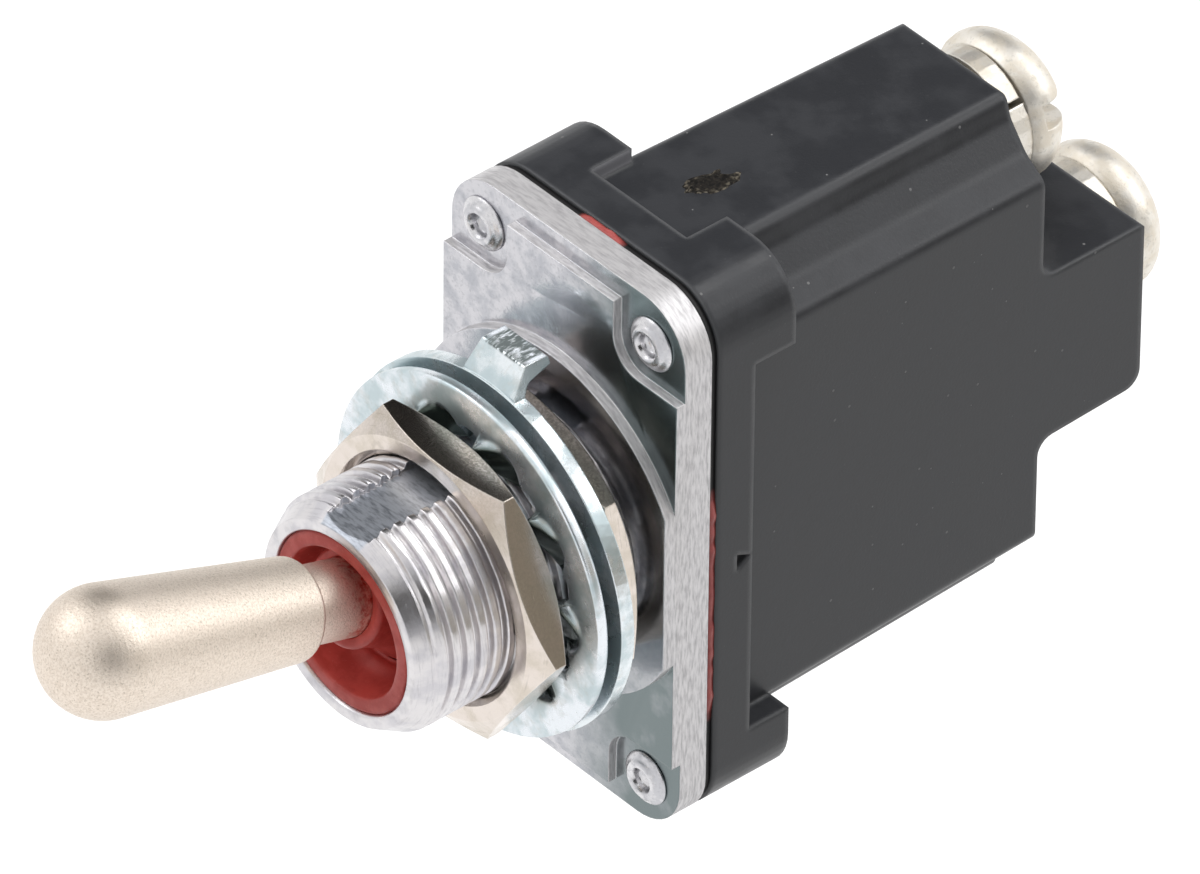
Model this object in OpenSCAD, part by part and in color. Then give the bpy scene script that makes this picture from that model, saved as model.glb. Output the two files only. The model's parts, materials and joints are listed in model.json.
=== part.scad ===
// Sealed panel toggle switch, one pole with two screw terminals.
// X runs across the switch, Y runs back along the bushing axis and Z is up, towards the keyway.
// The origin is on the bushing axis, in the front face of the front nut: the free thread lies at -Y.

/* [Cover and bushing] */
// Width of the cover and flange
cover_w = 16; // [15.6:0.1:18]
// Height of the cover and flange
cover_h = 30; // [29.6:0.1:33]
// Radius of the cover's corners
cover_corner_r = 2.9; // [1.5:0.1:3.5]
// Thickness of the cover at its raised middle
cover_t = 2.1; // [1.6:0.1:3]
// Depth of the corner pads and end ledges below the raised middle
pad_drop = 0.5; // [0.2:0.05:0.9]
// Width of the ledge along the short ends
ledge_w = 1; // [0.5:0.1:1.5]
// Distance from a rivet to the inner edge of its pad
pad_reach = 2.1; // [1.8:0.1:2.6]
// Radius of the round boss under the bushing
boss_r = 9.1; // [8.2:0.1:10]
// Height of the boss over the raised middle
boss_h = 0.6; // [0.3:0.1:1.2]
// Outer radius of the bushing's 15/32 in thread
bushing_r = 5.953; // [5.9:0.001:6]
// Length of the bushing from the boss to its rim
bushing_l = 12.4; // [12:0.1:15]
// Radius of the bushing's bore
bore_r = 4.6; // [4.5:0.05:4.7]
// Radial depth of the lead-in chamfer at the bushing's rim
rim_chamfer = 0.8; // [0.2:0.05:0.95]
// Length of that chamfer
rim_chamfer_l = 1.5; // [0.5:0.1:2]
// Length of thread left free ahead of the front nut
free_thread = 5; // [3:0.1:5.4]
// Width of the keyway along the top of the thread
keyway_w = 2.9; // [2:0.1:3.4]
// Depth of the keyway's flat floor
keyway_d = 0.65; // [0.4:0.05:0.8]

/* [Panel hardware] */
// Width across the flats of both nuts
nut_af = 14.4; // [13.6:0.1:15.8]
// Thickness of each nut
nut_t = 2; // [1.6:0.1:2.2]
// Countersink at the mouths of a nut's thread
nut_sink = 0.4; // [0.1:0.05:0.5]
// Turn of the front nut about the bushing
front_nut_turn = -3.9; // [-30:0.1:30]
// Turn of the back nut about the bushing
back_nut_turn = -20.5; // [-30:0.1:30]
// How far the tooth lock washer's rim lies inside the keying washer's
lock_inset = 0.2; // [0:0.05:0.3]
// Width of the lock washer's solid rim
lock_rim_w = 1.15; // [0.8:0.05:1.4]
// Thickness of the lock washer's sheet
lock_t = 0.6; // [0.4:0.05:0.7]
// Number of teeth on the lock washer
tooth_count = 10; // [8:1:12]
// Width of one tooth
tooth_w = 2.5; // [1.8:0.1:2.8]
// Twist of one tooth out of the sheet
tooth_twist = 28; // [15:1:32]
// Outer radius of the keying washer
key_r = 9.3; // [8.8:0.05:10.5]
// Thickness of the keying washer
key_t = 0.75; // [0.5:0.05:0.9]
// Width of the keying washer's bent tab at its root
tab_root_w = 3.8; // [3.4:0.1:4.4]
// Width of the tab at its sheared end
tab_w = 2.9; // [2.4:0.1:3.3]
// Rise of the tab over the washer's edge
tab_h = 1.35; // [0.8:0.05:1.8]
// Reach of the tab behind the washer's front face
tab_reach = 2.3; // [1.6:0.1:3]

/* [Lever] */
// Tilt of the lever from the bushing axis at either end of its throw
lever_tilt = 17.25; // [14:0.25:18]
// Depth of the pivot behind the bushing's rim
pivot_depth = 4.8; // [4.4:0.1:6]
// Distance from the pivot to the centre of the ball end
ball_reach = 19.49; // [17:0.01:24]
// Radius of the ball end
ball_r = 3.1; // [2.8:0.005:3.6]
// Radius of the bat where it steps down to the neck
bat_root_r = 2.46; // [2.3:0.01:2.8]
// Distance from the pivot to that step
bat_start = 8; // [7.5:0.05:9]
// Radius of the neck
neck_r = 1.85; // [1.6:0.05:2]
// Radius of the round hub at the pivot
hub_r = 2.4; // [2.2:0.05:2.6]
// Radius of the pivot pin
pin_r = 0.8; // [0.6:0.05:0.9]
// Length of the ring that holds the pin in its grooves
retainer_l = 1.6; // [1:0.1:2]
// Wall of that ring
retainer_w = 0.9; // [0.5:0.05:1]
// Radius of the lever's tail
tail_r = 1.7; // [1.6:0.05:1.75]
// Length of the tail behind the pivot
tail_l = 9; // [8:0.1:9.2]
// Radius of the plunger
plunger_r = 1.1; // [1:0.02:1.2]
// Distance from the pivot to the centre of the plunger's round nose
nose_reach = 13; // [12.6:0.1:13.4]
// Length of the plunger's solid tip, from its hollow to the centre of its nose
plunger_tip = 2; // [1.6:0.1:2.2]
// Radius of the plunger spring's wire
wire_r = 0.12; // [0.1:0.01:0.14]
// Depth of the plunger inside the tail
plunger_grip = 3.1; // [2.5:0.1:3.4]

/* [Seal] */
// Width of the seal's flat lip at the rim
lip_w = 0.5; // [0.3:0.05:0.6]
// Radius of the hole at the bottom of the seal's dish
dish_r = 3.25; // [3.1:0.05:3.4]
// Depth of the dish
dish_d = 2.4; // [1.6:0.1:2.6]
// Thickness of the seal under the dish
seal_base_t = 0.8; // [0.5:0.1:0.9]
// Length of the collar on the lever's neck
collar_l = 2; // [1.2:0.1:2.6]
// Radius of the collar at its root
collar_r = 2.25; // [2.2:0.05:2.4]

/* [Housing] */
// Thickness of the gasket under the cover
gasket_t = 0.4; // [0.2:0.05:0.6]
// Thickness of the housing's flange
flange_t = 2.2; // [1.6:0.1:3]
// Height of the corner lugs over the gasket
lug_t = 4.6; // [3.6:0.1:5.5]
// Width of a lug along the short end
lug_w = 4.75; // [4.2:0.05:5]
// Width of a lug along the long side
lug_h = 4.4; // [3.8:0.05:5]
// Step from the flange's side in to the body
side_step = 1.25; // [1:0.05:1.5]
// Step from the flange's end in to the body
end_step = 0.75; // [0.5:0.05:1.1]
// Depth of the upper and lower steps from the flange's front
step_d = 21.2; // [19.5:0.1:22.5]
// Depth of the middle step from the flange's front
middle_d = 27.6; // [26:0.1:30]
// Height of the middle step
middle_h = 9.5; // [8.8:0.1:10.5]
// Draft of the body's walls, in degrees
draft = 1.05; // [0.2:0.05:1.8]
// Width of the flat between the two corner flutes
crown_w = 7.9; // [7.4:0.1:8.4]
// Height of a corner flute
flute_h = 3.5; // [3:0.1:3.9]
// Radius of the rounds along the body
body_round = 0.7; // [0.3:0.05:0.9]
// Radius of the small rounds on the stepped back end
edge_round = 0.2; // [0.1:0.05:0.4]
// Radius of the large rounds at the foot of the steps
toe_round = 0.9; // [0.5:0.1:1.2]
// Thickness of the body's side wall beside the cavity
side_wall = 2.55; // [2.3:0.05:2.75]
// Thickness of the body's end wall above and below the cavity
end_wall = 4.5; // [4.3:0.05:4.65]
// Thickness of the cavity's floor
floor_t = 7; // [6:0.1:8]
// Length of the mould gate's pocket in the flange's side
gate_l = 0.95; // [0.5:0.05:1]
// Depth of that pocket
gate_d = 0.4; // [0.2:0.05:0.8]

/* [Rivets] */
// Distance of a rivet's axis from the flange's side
rivet_side = 2.25; // [2.05:0.05:2.35]
// Distance of a rivet's axis from the flange's end
rivet_end = 2.4; // [2.2:0.05:2.5]
// Radius of a rivet's shank
rivet_r = 1.05; // [0.9:0.05:1.15]
// Radius of a rivet's rolled head
rivet_head_r = 1.38; // [1.25:0.01:1.6]
// Height of a rivet's rolled head
rivet_head_h = 0.45; // [0.3:0.05:0.6]
// Radius of the hollow in a rivet
rivet_hole_r = 0.55; // [0.4:0.05:0.7]

/* [Contacts and terminals] */
// Swing of the rocker to either side
rocker_tilt = 8; // [6:0.5:8.5]
// Depth of the fulcrum behind the cover's rear face
fulcrum_depth = 7; // [6.8:0.1:7.4]
// Radius of the fulcrum's round nose
fulcrum_r = 0.8; // [0.6:0.05:0.9]
// Thickness of the contact blade
blade_t = 0.6; // [0.4:0.05:0.7]
// Width of the contact blade
blade_w = 4; // [3.4:0.1:4.4]
// Distance from the cavity's end to the middle of the contacts
contact_room = 2.15; // [2.05:0.05:2.5]
// Radius of the contacts
contact_r = 1.4; // [1.1:0.05:1.5]
// Height of each contact
contact_h = 0.7; // [0.5:0.05:0.8]
// Width of the insulating saddle
saddle_w = 5; // [4.4:0.1:6]
// Length of the saddle up and down
saddle_l = 9.2; // [8.8:0.1:9.6]
// Distance of the upper terminal's axis from the body's end
terminal_end = 4.5; // [4.3:0.05:4.8]
// Radius of the terminals' threaded posts
post_r = 2.6; // [2.4:0.05:2.8]
// How far the posts stand proud of the housing
post_proud = 0.7; // [0.2:0.05:1]
// Thickness of the terminals' inner strips
strip_t = 1; // [0.7:0.05:1.2]
// Width of the terminals' inner strips
strip_w = 3.6; // [3:0.1:4]
// Radius of the terminal screws' threads
screw_r = 1.75; // [1.6:0.05:1.9]
// Depth of the tapped hole in the upper terminal
upper_tap = 6; // [5:0.1:6.4]
// Depth of the tapped hole in the middle terminal
middle_tap = 9; // [8:0.1:10]
// Room left under the tip of a terminal screw
tip_gap = 0.6; // [0.3:0.1:1]
// Radius of a screw's head
head_r = 3.75; // [3.4:0.01:3.9]
// Height of a screw's head
head_h = 3; // [2.4:0.1:3.2]
// Width of the slot in a screw's head
slot_w = 1.25; // [0.8:0.05:1.4]
// Depth of that slot
slot_d = 1.2; // [0.8:0.05:1.4]
// Turn of the slot in the upper screw
upper_slot_turn = 70; // [-90:1:90]
// Turn of the slot in the middle screw
middle_slot_turn = -50; // [-90:1:90]
// Outer radius of the split washers
split_r = 3.4; // [3:0.05:3.5]
// Thickness of a split washer
split_t = 1.1; // [0.7:0.05:1.2]
// Rise of a split washer over one turn, once the screw has flattened it
split_rise = 0.1; // [0.05:0.05:0.6]
// Angle left open by the split
split_gap = 5; // [4:1:20]

/* [Hidden] */
$fn = 64;

// Clearances
run_gap = 0.05;
seat_gap = 0.02;
soft_gap = 0.1;
thread_gap = 0.03;

// Sizes that follow from the cover
rivet_dx = cover_w - 2 * rivet_side;
rivet_dz = cover_h - 2 * rivet_end;
body_w = cover_w - 2 * side_step;
body_h = cover_h - 2 * end_step;
cavity_w = body_w - 2 * side_wall;
cavity_h = body_h - 2 * end_wall;
terminal_z = body_h / 2 - terminal_end;
contact_reach = cavity_h / 2 - contact_room;
lock_r = key_r - lock_inset;

// Datum planes along Y
rim_y = -free_thread;
boss_y = rim_y + bushing_l;
cover_y = boss_y + boss_h;
pad_y = cover_y + pad_drop;
gasket_y = cover_y + cover_t;
housing_y = gasket_y + gasket_t;
step_y = housing_y + step_d;
middle_y = housing_y + middle_d;
floor_y = step_y - floor_t;
pivot_y = rim_y + pivot_depth;
fulcrum_y = gasket_y + fulcrum_depth;

// The tooth span leaves the sheet clear of the nut and of the keying washer
tooth_span = tooth_w * sin(tooth_twist) + lock_t * cos(tooth_twist);
lock_y = nut_t + seat_gap + tooth_span / 2;
key_y = nut_t + tooth_span + 2 * seat_gap;
back_nut_y = key_y + key_t + seat_gap;

// Path of the plunger's nose as the rocker sees it, which sets the saddle's trough
nose_gap = 0.06;
mid_y = pivot_y + nose_reach - fulcrum_y;
end_y = pivot_y + nose_reach * cos(lever_tilt) - fulcrum_y;
end_z = -nose_reach * sin(lever_tilt);
end_local_y = end_y * cos(rocker_tilt) + end_z * sin(rocker_tilt);
end_local_z = -end_y * sin(rocker_tilt) + end_z * cos(rocker_tilt);
trough_rise = mid_y - end_local_y;
path_r = (end_local_z * end_local_z + trough_rise * trough_rise) / (2 * trough_rise);
trough_r = path_r + plunger_r + nose_gap;
trough_y = mid_y - path_r;
blade_y = -fulcrum_r - run_gap - blade_t;
blade_end = contact_reach + contact_r + 0.1;

// The moving contact's crown meets the fixed contact when the lever is thrown down
crown_y = blade_y + blade_t + contact_h;
crown_travel = crown_y * cos(rocker_tilt) + contact_reach * sin(rocker_tilt);
fixed_y = fulcrum_y + crown_travel + run_gap;
fixed_z = contact_reach * cos(rocker_tilt) - crown_y * sin(rocker_tilt);

// --- Profiles ---

function flat(p) = [p[0], p[1]];
function unit(v) = v / norm(v);

// A corner of radius b[2] at b, as an arc of n steps between the edges to a and c
function corner(a, b, c, n) =
    let (u = unit(flat(a) - flat(b)), w = unit(flat(c) - flat(b)), half = acos(u * w) / 2)
    let (o = flat(b) + unit(u + w) * b[2] / sin(half))
    let (p = flat(b) + u * b[2] / tan(half) - o, q = flat(b) + w * b[2] / tan(half) - o)
    let (start = atan2(p[1], p[0]), turn = (atan2(q[1], q[0]) - start + 540) % 360 - 180)
    [for (k = [0 : n]) o + b[2] * [cos(start + turn * k / n), sin(start + turn * k / n)]];

// An outline of points [x, y, radius], with each corner rounded by its own radius
function outline(pts, n = 6) = [for (i = [0 : len(pts) - 1])
    let (a = pts[(i + len(pts) - 1) % len(pts)], b = pts[i], c = pts[(i + 1) % len(pts)])
    each (b[2] > 0 ? corner(a, b, c, n) : [flat(b)])];

// A rectangle about the centre with rounded corners
function plate(w, h, r, n = 10) = outline([[-w / 2, -h / 2, r], [w / 2, -h / 2, r],
    [w / 2, h / 2, r], [-w / 2, h / 2, r]], n);

// --- Placing helpers ---

// Turns a drawing in X and Z into a slab between two depths
module slab(y0, y1) {
    translate([0, y1, 0]) rotate([90, 0, 0]) linear_extrude(y1 - y0) children();
}

// Turns a drawing in Y and Z into a bar across the switch
module bar(w) {
    translate([-w / 2, 0, 0]) rotate([90, 0, 90]) linear_extrude(w) children();
}

// Spins a drawing of radius against depth about the bushing axis
module spin() {
    rotate([-90, 0, 0]) rotate_extrude() children();
}

module rod(r, y0, y1) {
    translate([0, y0, 0]) rotate([-90, 0, 0]) cylinder(r = r, h = y1 - y0);
}

// Moves the lever's own frame, with +Y from the pivot towards the ball, to where it rests
module on_lever() {
    translate([0, pivot_y, 0]) rotate([180 - lever_tilt, 0, 0]) children();
}

// Moves the rocker's own frame, centred on the fulcrum, to where it rests
module on_rocker() {
    translate([0, fulcrum_y, 0]) rotate([rocker_tilt, 0, 0]) children();
}

module at_rivets() {
    for (x = [-1, 1], z = [-1, 1]) translate([x * rivet_dx / 2, 0, z * rivet_dz / 2]) children();
}

// --- Cover and seal ---

// The recess around one rivet, open to the corner, with a rounded inner corner
module pad(sx, sz) {
    x0 = rivet_dx / 2 - pad_reach;
    z0 = rivet_dz / 2 - pad_reach;
    slab(cover_y - 0.1, pad_y)
        scale([sx, sz]) polygon(outline([[x0, z0, 1.7], [cover_w, z0, 0], [cover_w, cover_h, 0],
            [x0, cover_h, 0]], 12));
}

module cover() {
    color("silver") difference() {
        union() {
            slab(cover_y, gasket_y) polygon(plate(cover_w, cover_h, cover_corner_r));
            intersection() {
                rod(boss_r, boss_y, gasket_y);
                slab(boss_y, gasket_y) square([cover_w, cover_h], center = true);
            }
            spin() polygon([[0, rim_y], [bushing_r - rim_chamfer, rim_y],
                [bushing_r, rim_y + rim_chamfer_l], [bushing_r, cover_y], [0, cover_y]]);
        }
        for (sx = [-1, 1], sz = [-1, 1]) pad(sx, sz);
        for (sz = [-1, 1]) slab(cover_y - 0.1, pad_y)
            translate([0, sz * (cover_h - ledge_w) / 2]) square([cover_w + 1, ledge_w + 0.01], center = true);
        rod(bore_r, rim_y - 1, gasket_y + 1);
        // Keyway along the top of the thread
        translate([-keyway_w / 2, rim_y - 1, bushing_r - keyway_d])
            cube([keyway_w, bushing_l - 0.5 + 1, 2]);
        // Two grooves that take the ends of the pivot pin, open at the back
        for (sx = [-1, 1]) translate([sx * pin_end_x() / 2, 0, 0]) {
            translate([-pin_end_x() / 2, pivot_y, -pin_r - run_gap])
                cube([pin_end_x(), gasket_y - pivot_y + 1, 2 * (pin_r + run_gap)]);
        }
        translate([0, pivot_y, 0]) rotate([0, 90, 0])
            cylinder(r = pin_r + run_gap, h = 2 * pin_end_x(), center = true);
        at_rivets() rod(rivet_r + run_gap, cover_y - 1, gasket_y + 1);
    }
}

// Reach of the pivot pin's grooves to each side
function pin_end_x() = bore_r + 0.6;

module seal() {
    color("indianred") spin() polygon([[bore_r - run_gap, rim_y + 0.1],
        [bore_r - run_gap - lip_w, rim_y + 0.1], [dish_r, rim_y + dish_d],
        [dish_r, rim_y + dish_d + seal_base_t], [bore_r - run_gap, rim_y + dish_d + seal_base_t]]);
}

module gasket() {
    color("firebrick") difference() {
        slab(gasket_y, housing_y) polygon(plate(cover_w - 0.2, cover_h - 0.2, cover_corner_r));
        slab(gasket_y - 1, housing_y + 1) square([cavity_w, cavity_h], center = true);
        at_rivets() rod(rivet_r + run_gap, gasket_y - 1, housing_y + 1);
    }
}

module rivet(sx, sz) {
    hole_end = pad_y + flange_t;
    rear_y = housing_y + lug_t - rivet_head_h;
    color("gainsboro") translate([sx * rivet_dx / 2, 0, sz * rivet_dz / 2]) spin()
        polygon([[rivet_hole_r, pad_y - rivet_head_h + 0.1], [0.95, pad_y - rivet_head_h],
            [rivet_head_r - 0.1, pad_y - 0.15], [rivet_head_r, pad_y - seat_gap], [rivet_r, pad_y - seat_gap],
            [rivet_r, rear_y], [rivet_head_r, rear_y], [rivet_head_r - 0.2, rear_y + rivet_head_h],
            [0, rear_y + rivet_head_h], [0, hole_end],
            [rivet_hole_r, hole_end]]);
}

module rivet_1() { rivet(-1, 1); }
module rivet_2() { rivet(1, 1); }
module rivet_3() { rivet(-1, -1); }
module rivet_4() { rivet(1, -1); }

// --- Housing ---

// Quarter of the body's section: a crown that falls in an S-curve to a shelf
module body_section() {
    half_w = body_w / 2;
    half_h = body_h / 2;
    shelf_z = half_h - flute_h;
    wall_x = crown_w / 2 + 0.35;
    polygon(outline([[half_w, -1, 0], [half_w, shelf_z, body_round], [wall_x + 1.1, shelf_z + 0.9, 1.6],
        [wall_x, half_h - 1.2, 1], [crown_w / 2, half_h, body_round], [-1, half_h, 0], [-1, -1, 0]]));
}

// One quarter of the body, leaned in by the draft on its side and on its end
module body_quarter(sx, sz) {
    scale([sx, 1, sz]) intersection() {
        translate([0, housing_y, body_h / 2]) rotate([-draft, 0, 0]) rotate([0, 0, draft])
            translate([0, -housing_y, -body_h / 2]) slab(housing_y - 1, middle_y + 1) body_section();
        translate([0, housing_y, 0]) cube([body_w, middle_d + 1, body_h]);
    }
}

// Side view of the body's stepped back end
module body_side() {
    far_z = body_h / 2 - tan(draft) * step_d;
    mid_z = middle_h / 2;
    tip_z = mid_z - tan(draft) * (middle_d - step_d);
    polygon(outline([[housing_y - 1, body_h / 2 + tan(draft), 0], [step_y, far_z, edge_round],
        [step_y, mid_z, toe_round], [middle_y, tip_z, edge_round], [middle_y, -tip_z, toe_round],
        [step_y, -mid_z, toe_round], [step_y, -far_z, edge_round], [housing_y - 1, -body_h / 2 - tan(draft), 0]]));
}

// Small three-sided pocket in the flange's side, where the mould's gate was
module gate_pocket() {
    y0 = housing_y + 0.58 * flange_t;
    translate([cover_w / 2 - gate_d, 0, 0]) rotate([90, 0, 90])
        linear_extrude(gate_d + 1) polygon([[y0, 0.1], [y0, 0.1 - gate_l], [y0 + gate_l * 0.85, 0.1 - gate_l * 0.4]]);
}

module lug(sx, sz) {
    intersection() {
        slab(housing_y, housing_y + lug_t) polygon(plate(cover_w, cover_h, cover_corner_r));
        slab(housing_y, housing_y + lug_t) scale([sx, sz])
            polygon(outline([[cover_w / 2 - lug_w, cover_h / 2 - lug_h, 0.8], [cover_w, cover_h / 2 - lug_h, 0],
                [cover_w, cover_h, 0], [cover_w / 2 - lug_w, cover_h, 0]]));
    }
}

module housing() {
    color("#38393c") difference() {
        union() {
            intersection() {
                union() for (sx = [-1, 1], sz = [-1, 1]) body_quarter(sx, sz);
                bar(body_w + 1) body_side();
            }
            slab(housing_y, housing_y + flange_t) polygon(plate(cover_w, cover_h, cover_corner_r));
            for (sx = [-1, 1], sz = [-1, 1]) lug(sx, sz);
        }
        slab(housing_y - 1, floor_y) polygon(plate(cavity_w, cavity_h, 0.8));
        gate_pocket();
        rod(post_r + seat_gap, floor_y - 1, middle_y + 1);
        translate([0, 0, terminal_z]) rod(post_r + seat_gap, floor_y - 1, step_y + 1);
        at_rivets() {
            rod(rivet_r + run_gap, housing_y - 1, housing_y + lug_t + 1);
            rod(rivet_head_r + run_gap, housing_y + lug_t - rivet_head_h - seat_gap, housing_y + lug_t + 0.01);
        }
    }
}

// --- Panel hardware ---

// A hexagon nut chamfered on both faces, with its front face at Y = 0
module nut(turn) {
    corner_r = nut_af / 2 / cos(30);
    face_r = nut_af / 2 - 0.1;
    bevel = (corner_r - face_r) * tan(30);
    difference() {
        intersection() {
            slab(0, nut_t) rotate(turn) circle(r = corner_r, $fn = 6);
            spin() polygon([[0, 0], [face_r, 0], [corner_r, bevel], [corner_r, nut_t - bevel],
                [face_r, nut_t], [0, nut_t]]);
        }
        rod(bushing_r + thread_gap, -1, nut_t + 1);
        // Countersinks at both mouths of the thread
        spin() polygon([[0, -0.1], [bushing_r + nut_sink + 0.1, -0.1], [bushing_r, nut_sink], [0, nut_sink]]);
        spin() polygon([[0, nut_t + 0.1], [bushing_r + nut_sink + 0.1, nut_t + 0.1], [bushing_r, nut_t - nut_sink],
            [0, nut_t - nut_sink]]);
    }
}

module nut_front() { color("#b9b6b0") nut(front_nut_turn); }

module nut_back() { color("#b9b6b0") translate([0, back_nut_y, 0]) nut(back_nut_turn); }

module lock_washer() {
    tip_r = bushing_r + 0.1;
    root_r = lock_r - lock_rim_w;
    color("lightsteelblue") translate([0, lock_y, 0]) {
        difference() {
            rod(lock_r, -lock_t / 2, lock_t / 2);
            rod(root_r, -2, 2);
        }
        difference() {
            for (k = [0 : tooth_count - 1]) rotate([0, k * 360 / tooth_count, 0])
                translate([(tip_r + root_r) / 2, 0, 0]) rotate([tooth_twist, 0, 0])
                    cube([root_r - tip_r + 0.6, lock_t, tooth_w], center = true);
            rod(tip_r, -3, 3);
        }
    }
}

module keying_washer() {
    // Side view of the tab: it leaves the rim, bends back and rises to a sheared end
    tab = [[key_y, key_r - 1, 0], [key_y + 0.1, key_r, 0.3], [key_y + 0.95, key_r + tab_h, 0.15],
        [key_y + tab_reach, key_r + tab_h - 0.05, 0.1], [key_y + tab_reach + 0.1, key_r + tab_h - 0.5, 0.1],
        [key_y + 1, key_r + 0.45, 0.4], [key_y + key_t, key_r - 0.1, 0.2], [key_y + key_t, key_r - 1, 0]];
    color("lightsteelblue") {
        difference() {
            rod(key_r, key_y, key_y + key_t);
            difference() {
                rod(bushing_r + 0.1, key_y - 1, key_y + key_t + 1);
                // Inner key that drops into the bushing's keyway
                translate([-keyway_w / 2 + run_gap, key_y - 1, bushing_r - keyway_d + run_gap])
                    cube([keyway_w - 2 * run_gap, key_t + 2, 2]);
            }
        }
        intersection() {
            bar(tab_root_w) polygon(outline(tab, 4));
            slab(key_y - 1, key_y + tab_reach + 1) polygon([[-tab_root_w / 2, key_r - 1],
                [tab_root_w / 2, key_r - 1], [tab_w / 2, key_r + tab_h], [-tab_w / 2, key_r + tab_h]]);
        }
    }
}

// --- Lever ---

// Half angle of the bat's taper, which runs into the ball without a step
function bat_taper() = asin((ball_r - bat_root_r) / (ball_reach - bat_start));

module lever() {
    color("#cfc8bb") on_lever() difference() {
        spin() polygon(concat([[0, -tail_l], [tail_r, -tail_l]],
            [for (k = [0 : 10]) let (a = (k * acos(neck_r / hub_r) - (10 - k) * acos(tail_r / hub_r)) / 10)
                [hub_r * cos(a), hub_r * sin(a)]],
            [[neck_r, bat_start]],
            [for (a = [-90 : 18 : 0]) [bat_root_r - 0.3 + 0.3 * cos(a), bat_start + 0.3 + 0.3 * sin(a)]],
            [for (k = [0 : 16]) let (a = k * 90 / 16 - bat_taper() * (1 - k / 16))
                [ball_r * cos(a), ball_reach + ball_r * sin(a)]]));
        rotate([0, 90, 0]) cylinder(r = pin_r + run_gap, h = 3 * hub_r, center = true);
        rod(plunger_r + run_gap, -tail_l - 1, -spring_seat());
    }
}

// Distance from the pivot to the bottom of the tail's bore
function spring_seat() = hub_r + 1;

module seal_collar() {
    root = hub_r + 0.1;
    color("indianred") on_lever() difference() {
        spin() polygon([[0, root], [collar_r, root], [collar_r, root + collar_l * 0.4],
            [neck_r + 0.25, root + collar_l], [0, root + collar_l]]);
        rod(neck_r + seat_gap, 0, root + collar_l + 1);
    }
}

module pivot_pin() {
    color("lightgray") translate([0, pivot_y, 0]) rotate([0, 90, 0])
        cylinder(r = pin_r, h = 2 * (pin_end_x() - run_gap), center = true);
}

// A ring behind the pin that holds it against the ends of its grooves
module pin_retainer() {
    front = pivot_y + pin_r + run_gap;
    color("darkgray") difference() {
        rod(bore_r - seat_gap, front, front + retainer_l);
        rod(bore_r - retainer_w, front - 1, front + retainer_l + 1);
    }
}

module plunger() {
    color("ivory") on_lever() difference() {
        union() {
            rod(plunger_r, -nose_reach, -tail_l + plunger_grip);
            translate([0, -nose_reach, 0]) sphere(r = plunger_r);
        }
        rod(cup_r(), -cup_floor(), 0);
    }
}

// Radius of the hollow in the plunger, and its floor's distance from the pivot
function cup_r() = plunger_r - 0.35;
function cup_floor() = nose_reach - plunger_tip;

module plunger_spring() {
    turns = 9;
    steps = 12;
    coil_r = cup_r() - wire_r - 0.08;
    start = spring_seat() + wire_r + seat_gap;
    finish = cup_floor() - wire_r - 0.62;
    path = [for (k = [0 : turns * steps]) let (a = 360 * k / steps)
        [coil_r * cos(a), -start - (finish - start) * k / (turns * steps), coil_r * sin(a)]];
    ring = [for (k = [0 : turns * steps], j = [0 : 5]) let (a = 360 * k / steps, b = 60 * j)
        path[k] + wire_r * [cos(b) * cos(a), -sin(b), cos(b) * sin(a)]];
    color("silver") on_lever() polyhedron(ring, concat([[0, 1, 2, 3, 4, 5]],
        [for (k = [0 : turns * steps - 1], j = [0 : 5]) let (m = (j + 1) % 6)
            [6 * k + j, 6 * (k + 1) + j, 6 * (k + 1) + m, 6 * k + m]],
        [[for (j = [5 : -1 : 0]) 6 * turns * steps + j]]));
}

// --- Rocker and contacts ---

module saddle() {
    top_y = trough_y + sqrt(trough_r * trough_r - saddle_l * saddle_l / 4);
    color("saddlebrown") on_rocker() difference() {
        translate([-saddle_w / 2, top_y, -saddle_l / 2])
            cube([saddle_w, blade_y - seat_gap - top_y, saddle_l]);
        translate([-saddle_w, trough_y, 0]) rotate([0, 90, 0]) cylinder(r = trough_r, h = 2 * saddle_w, $fn = 96);
    }
}

module contact_blade() {
    color("goldenrod") on_rocker() translate([-blade_w / 2, blade_y, -contact_reach + 1])
        cube([blade_w, blade_t, contact_reach - 1 + blade_end]);
}

// A round contact with a slightly domed crown that faces +Y
module contact(h) {
    spin() polygon([[0, 0], [contact_r, 0], [contact_r, h * 0.55], [contact_r * 0.6, h * 0.9], [0, h]]);
}

module moving_contact() {
    color("silver") on_rocker() translate([0, blade_y + blade_t + seat_gap, contact_reach])
        contact(contact_h - seat_gap);
}

module fixed_contact() {
    color("silver") translate([0, fixed_y, fixed_z]) rod(contact_r, 0, contact_h - seat_gap);
}

module common_terminal() {
    color("peru") difference() {
        union() {
            rod(post_r, floor_y, middle_y + post_proud);
            translate([-strip_w / 2, fulcrum_y, -strip_t / 2])
                cube([strip_w, floor_y - fulcrum_y + 0.5, strip_t]);
            translate([-strip_w / 2, fulcrum_y, 0]) rotate([0, 90, 0]) cylinder(r = fulcrum_r, h = strip_w);
        }
        rod(screw_r + thread_gap, middle_y - middle_tap, middle_y + 1);
    }
}

module end_terminal() {
    face_y = fixed_y + contact_h;
    top_z = cavity_h / 2 - 0.1;
    color("peru") difference() {
        union() {
            translate([0, 0, terminal_z]) rod(post_r, floor_y, step_y + post_proud);
            translate([-strip_w / 2, face_y, fixed_z - contact_r]) cube([strip_w, strip_t, top_z - fixed_z + contact_r]);
            translate([-strip_w / 2, face_y, top_z - strip_t]) cube([strip_w, floor_y - face_y + 0.5, strip_t]);
        }
        translate([0, 0, terminal_z]) rod(screw_r + thread_gap, step_y - upper_tap, step_y + 1);
    }
}

// --- Terminal screws ---

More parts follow.
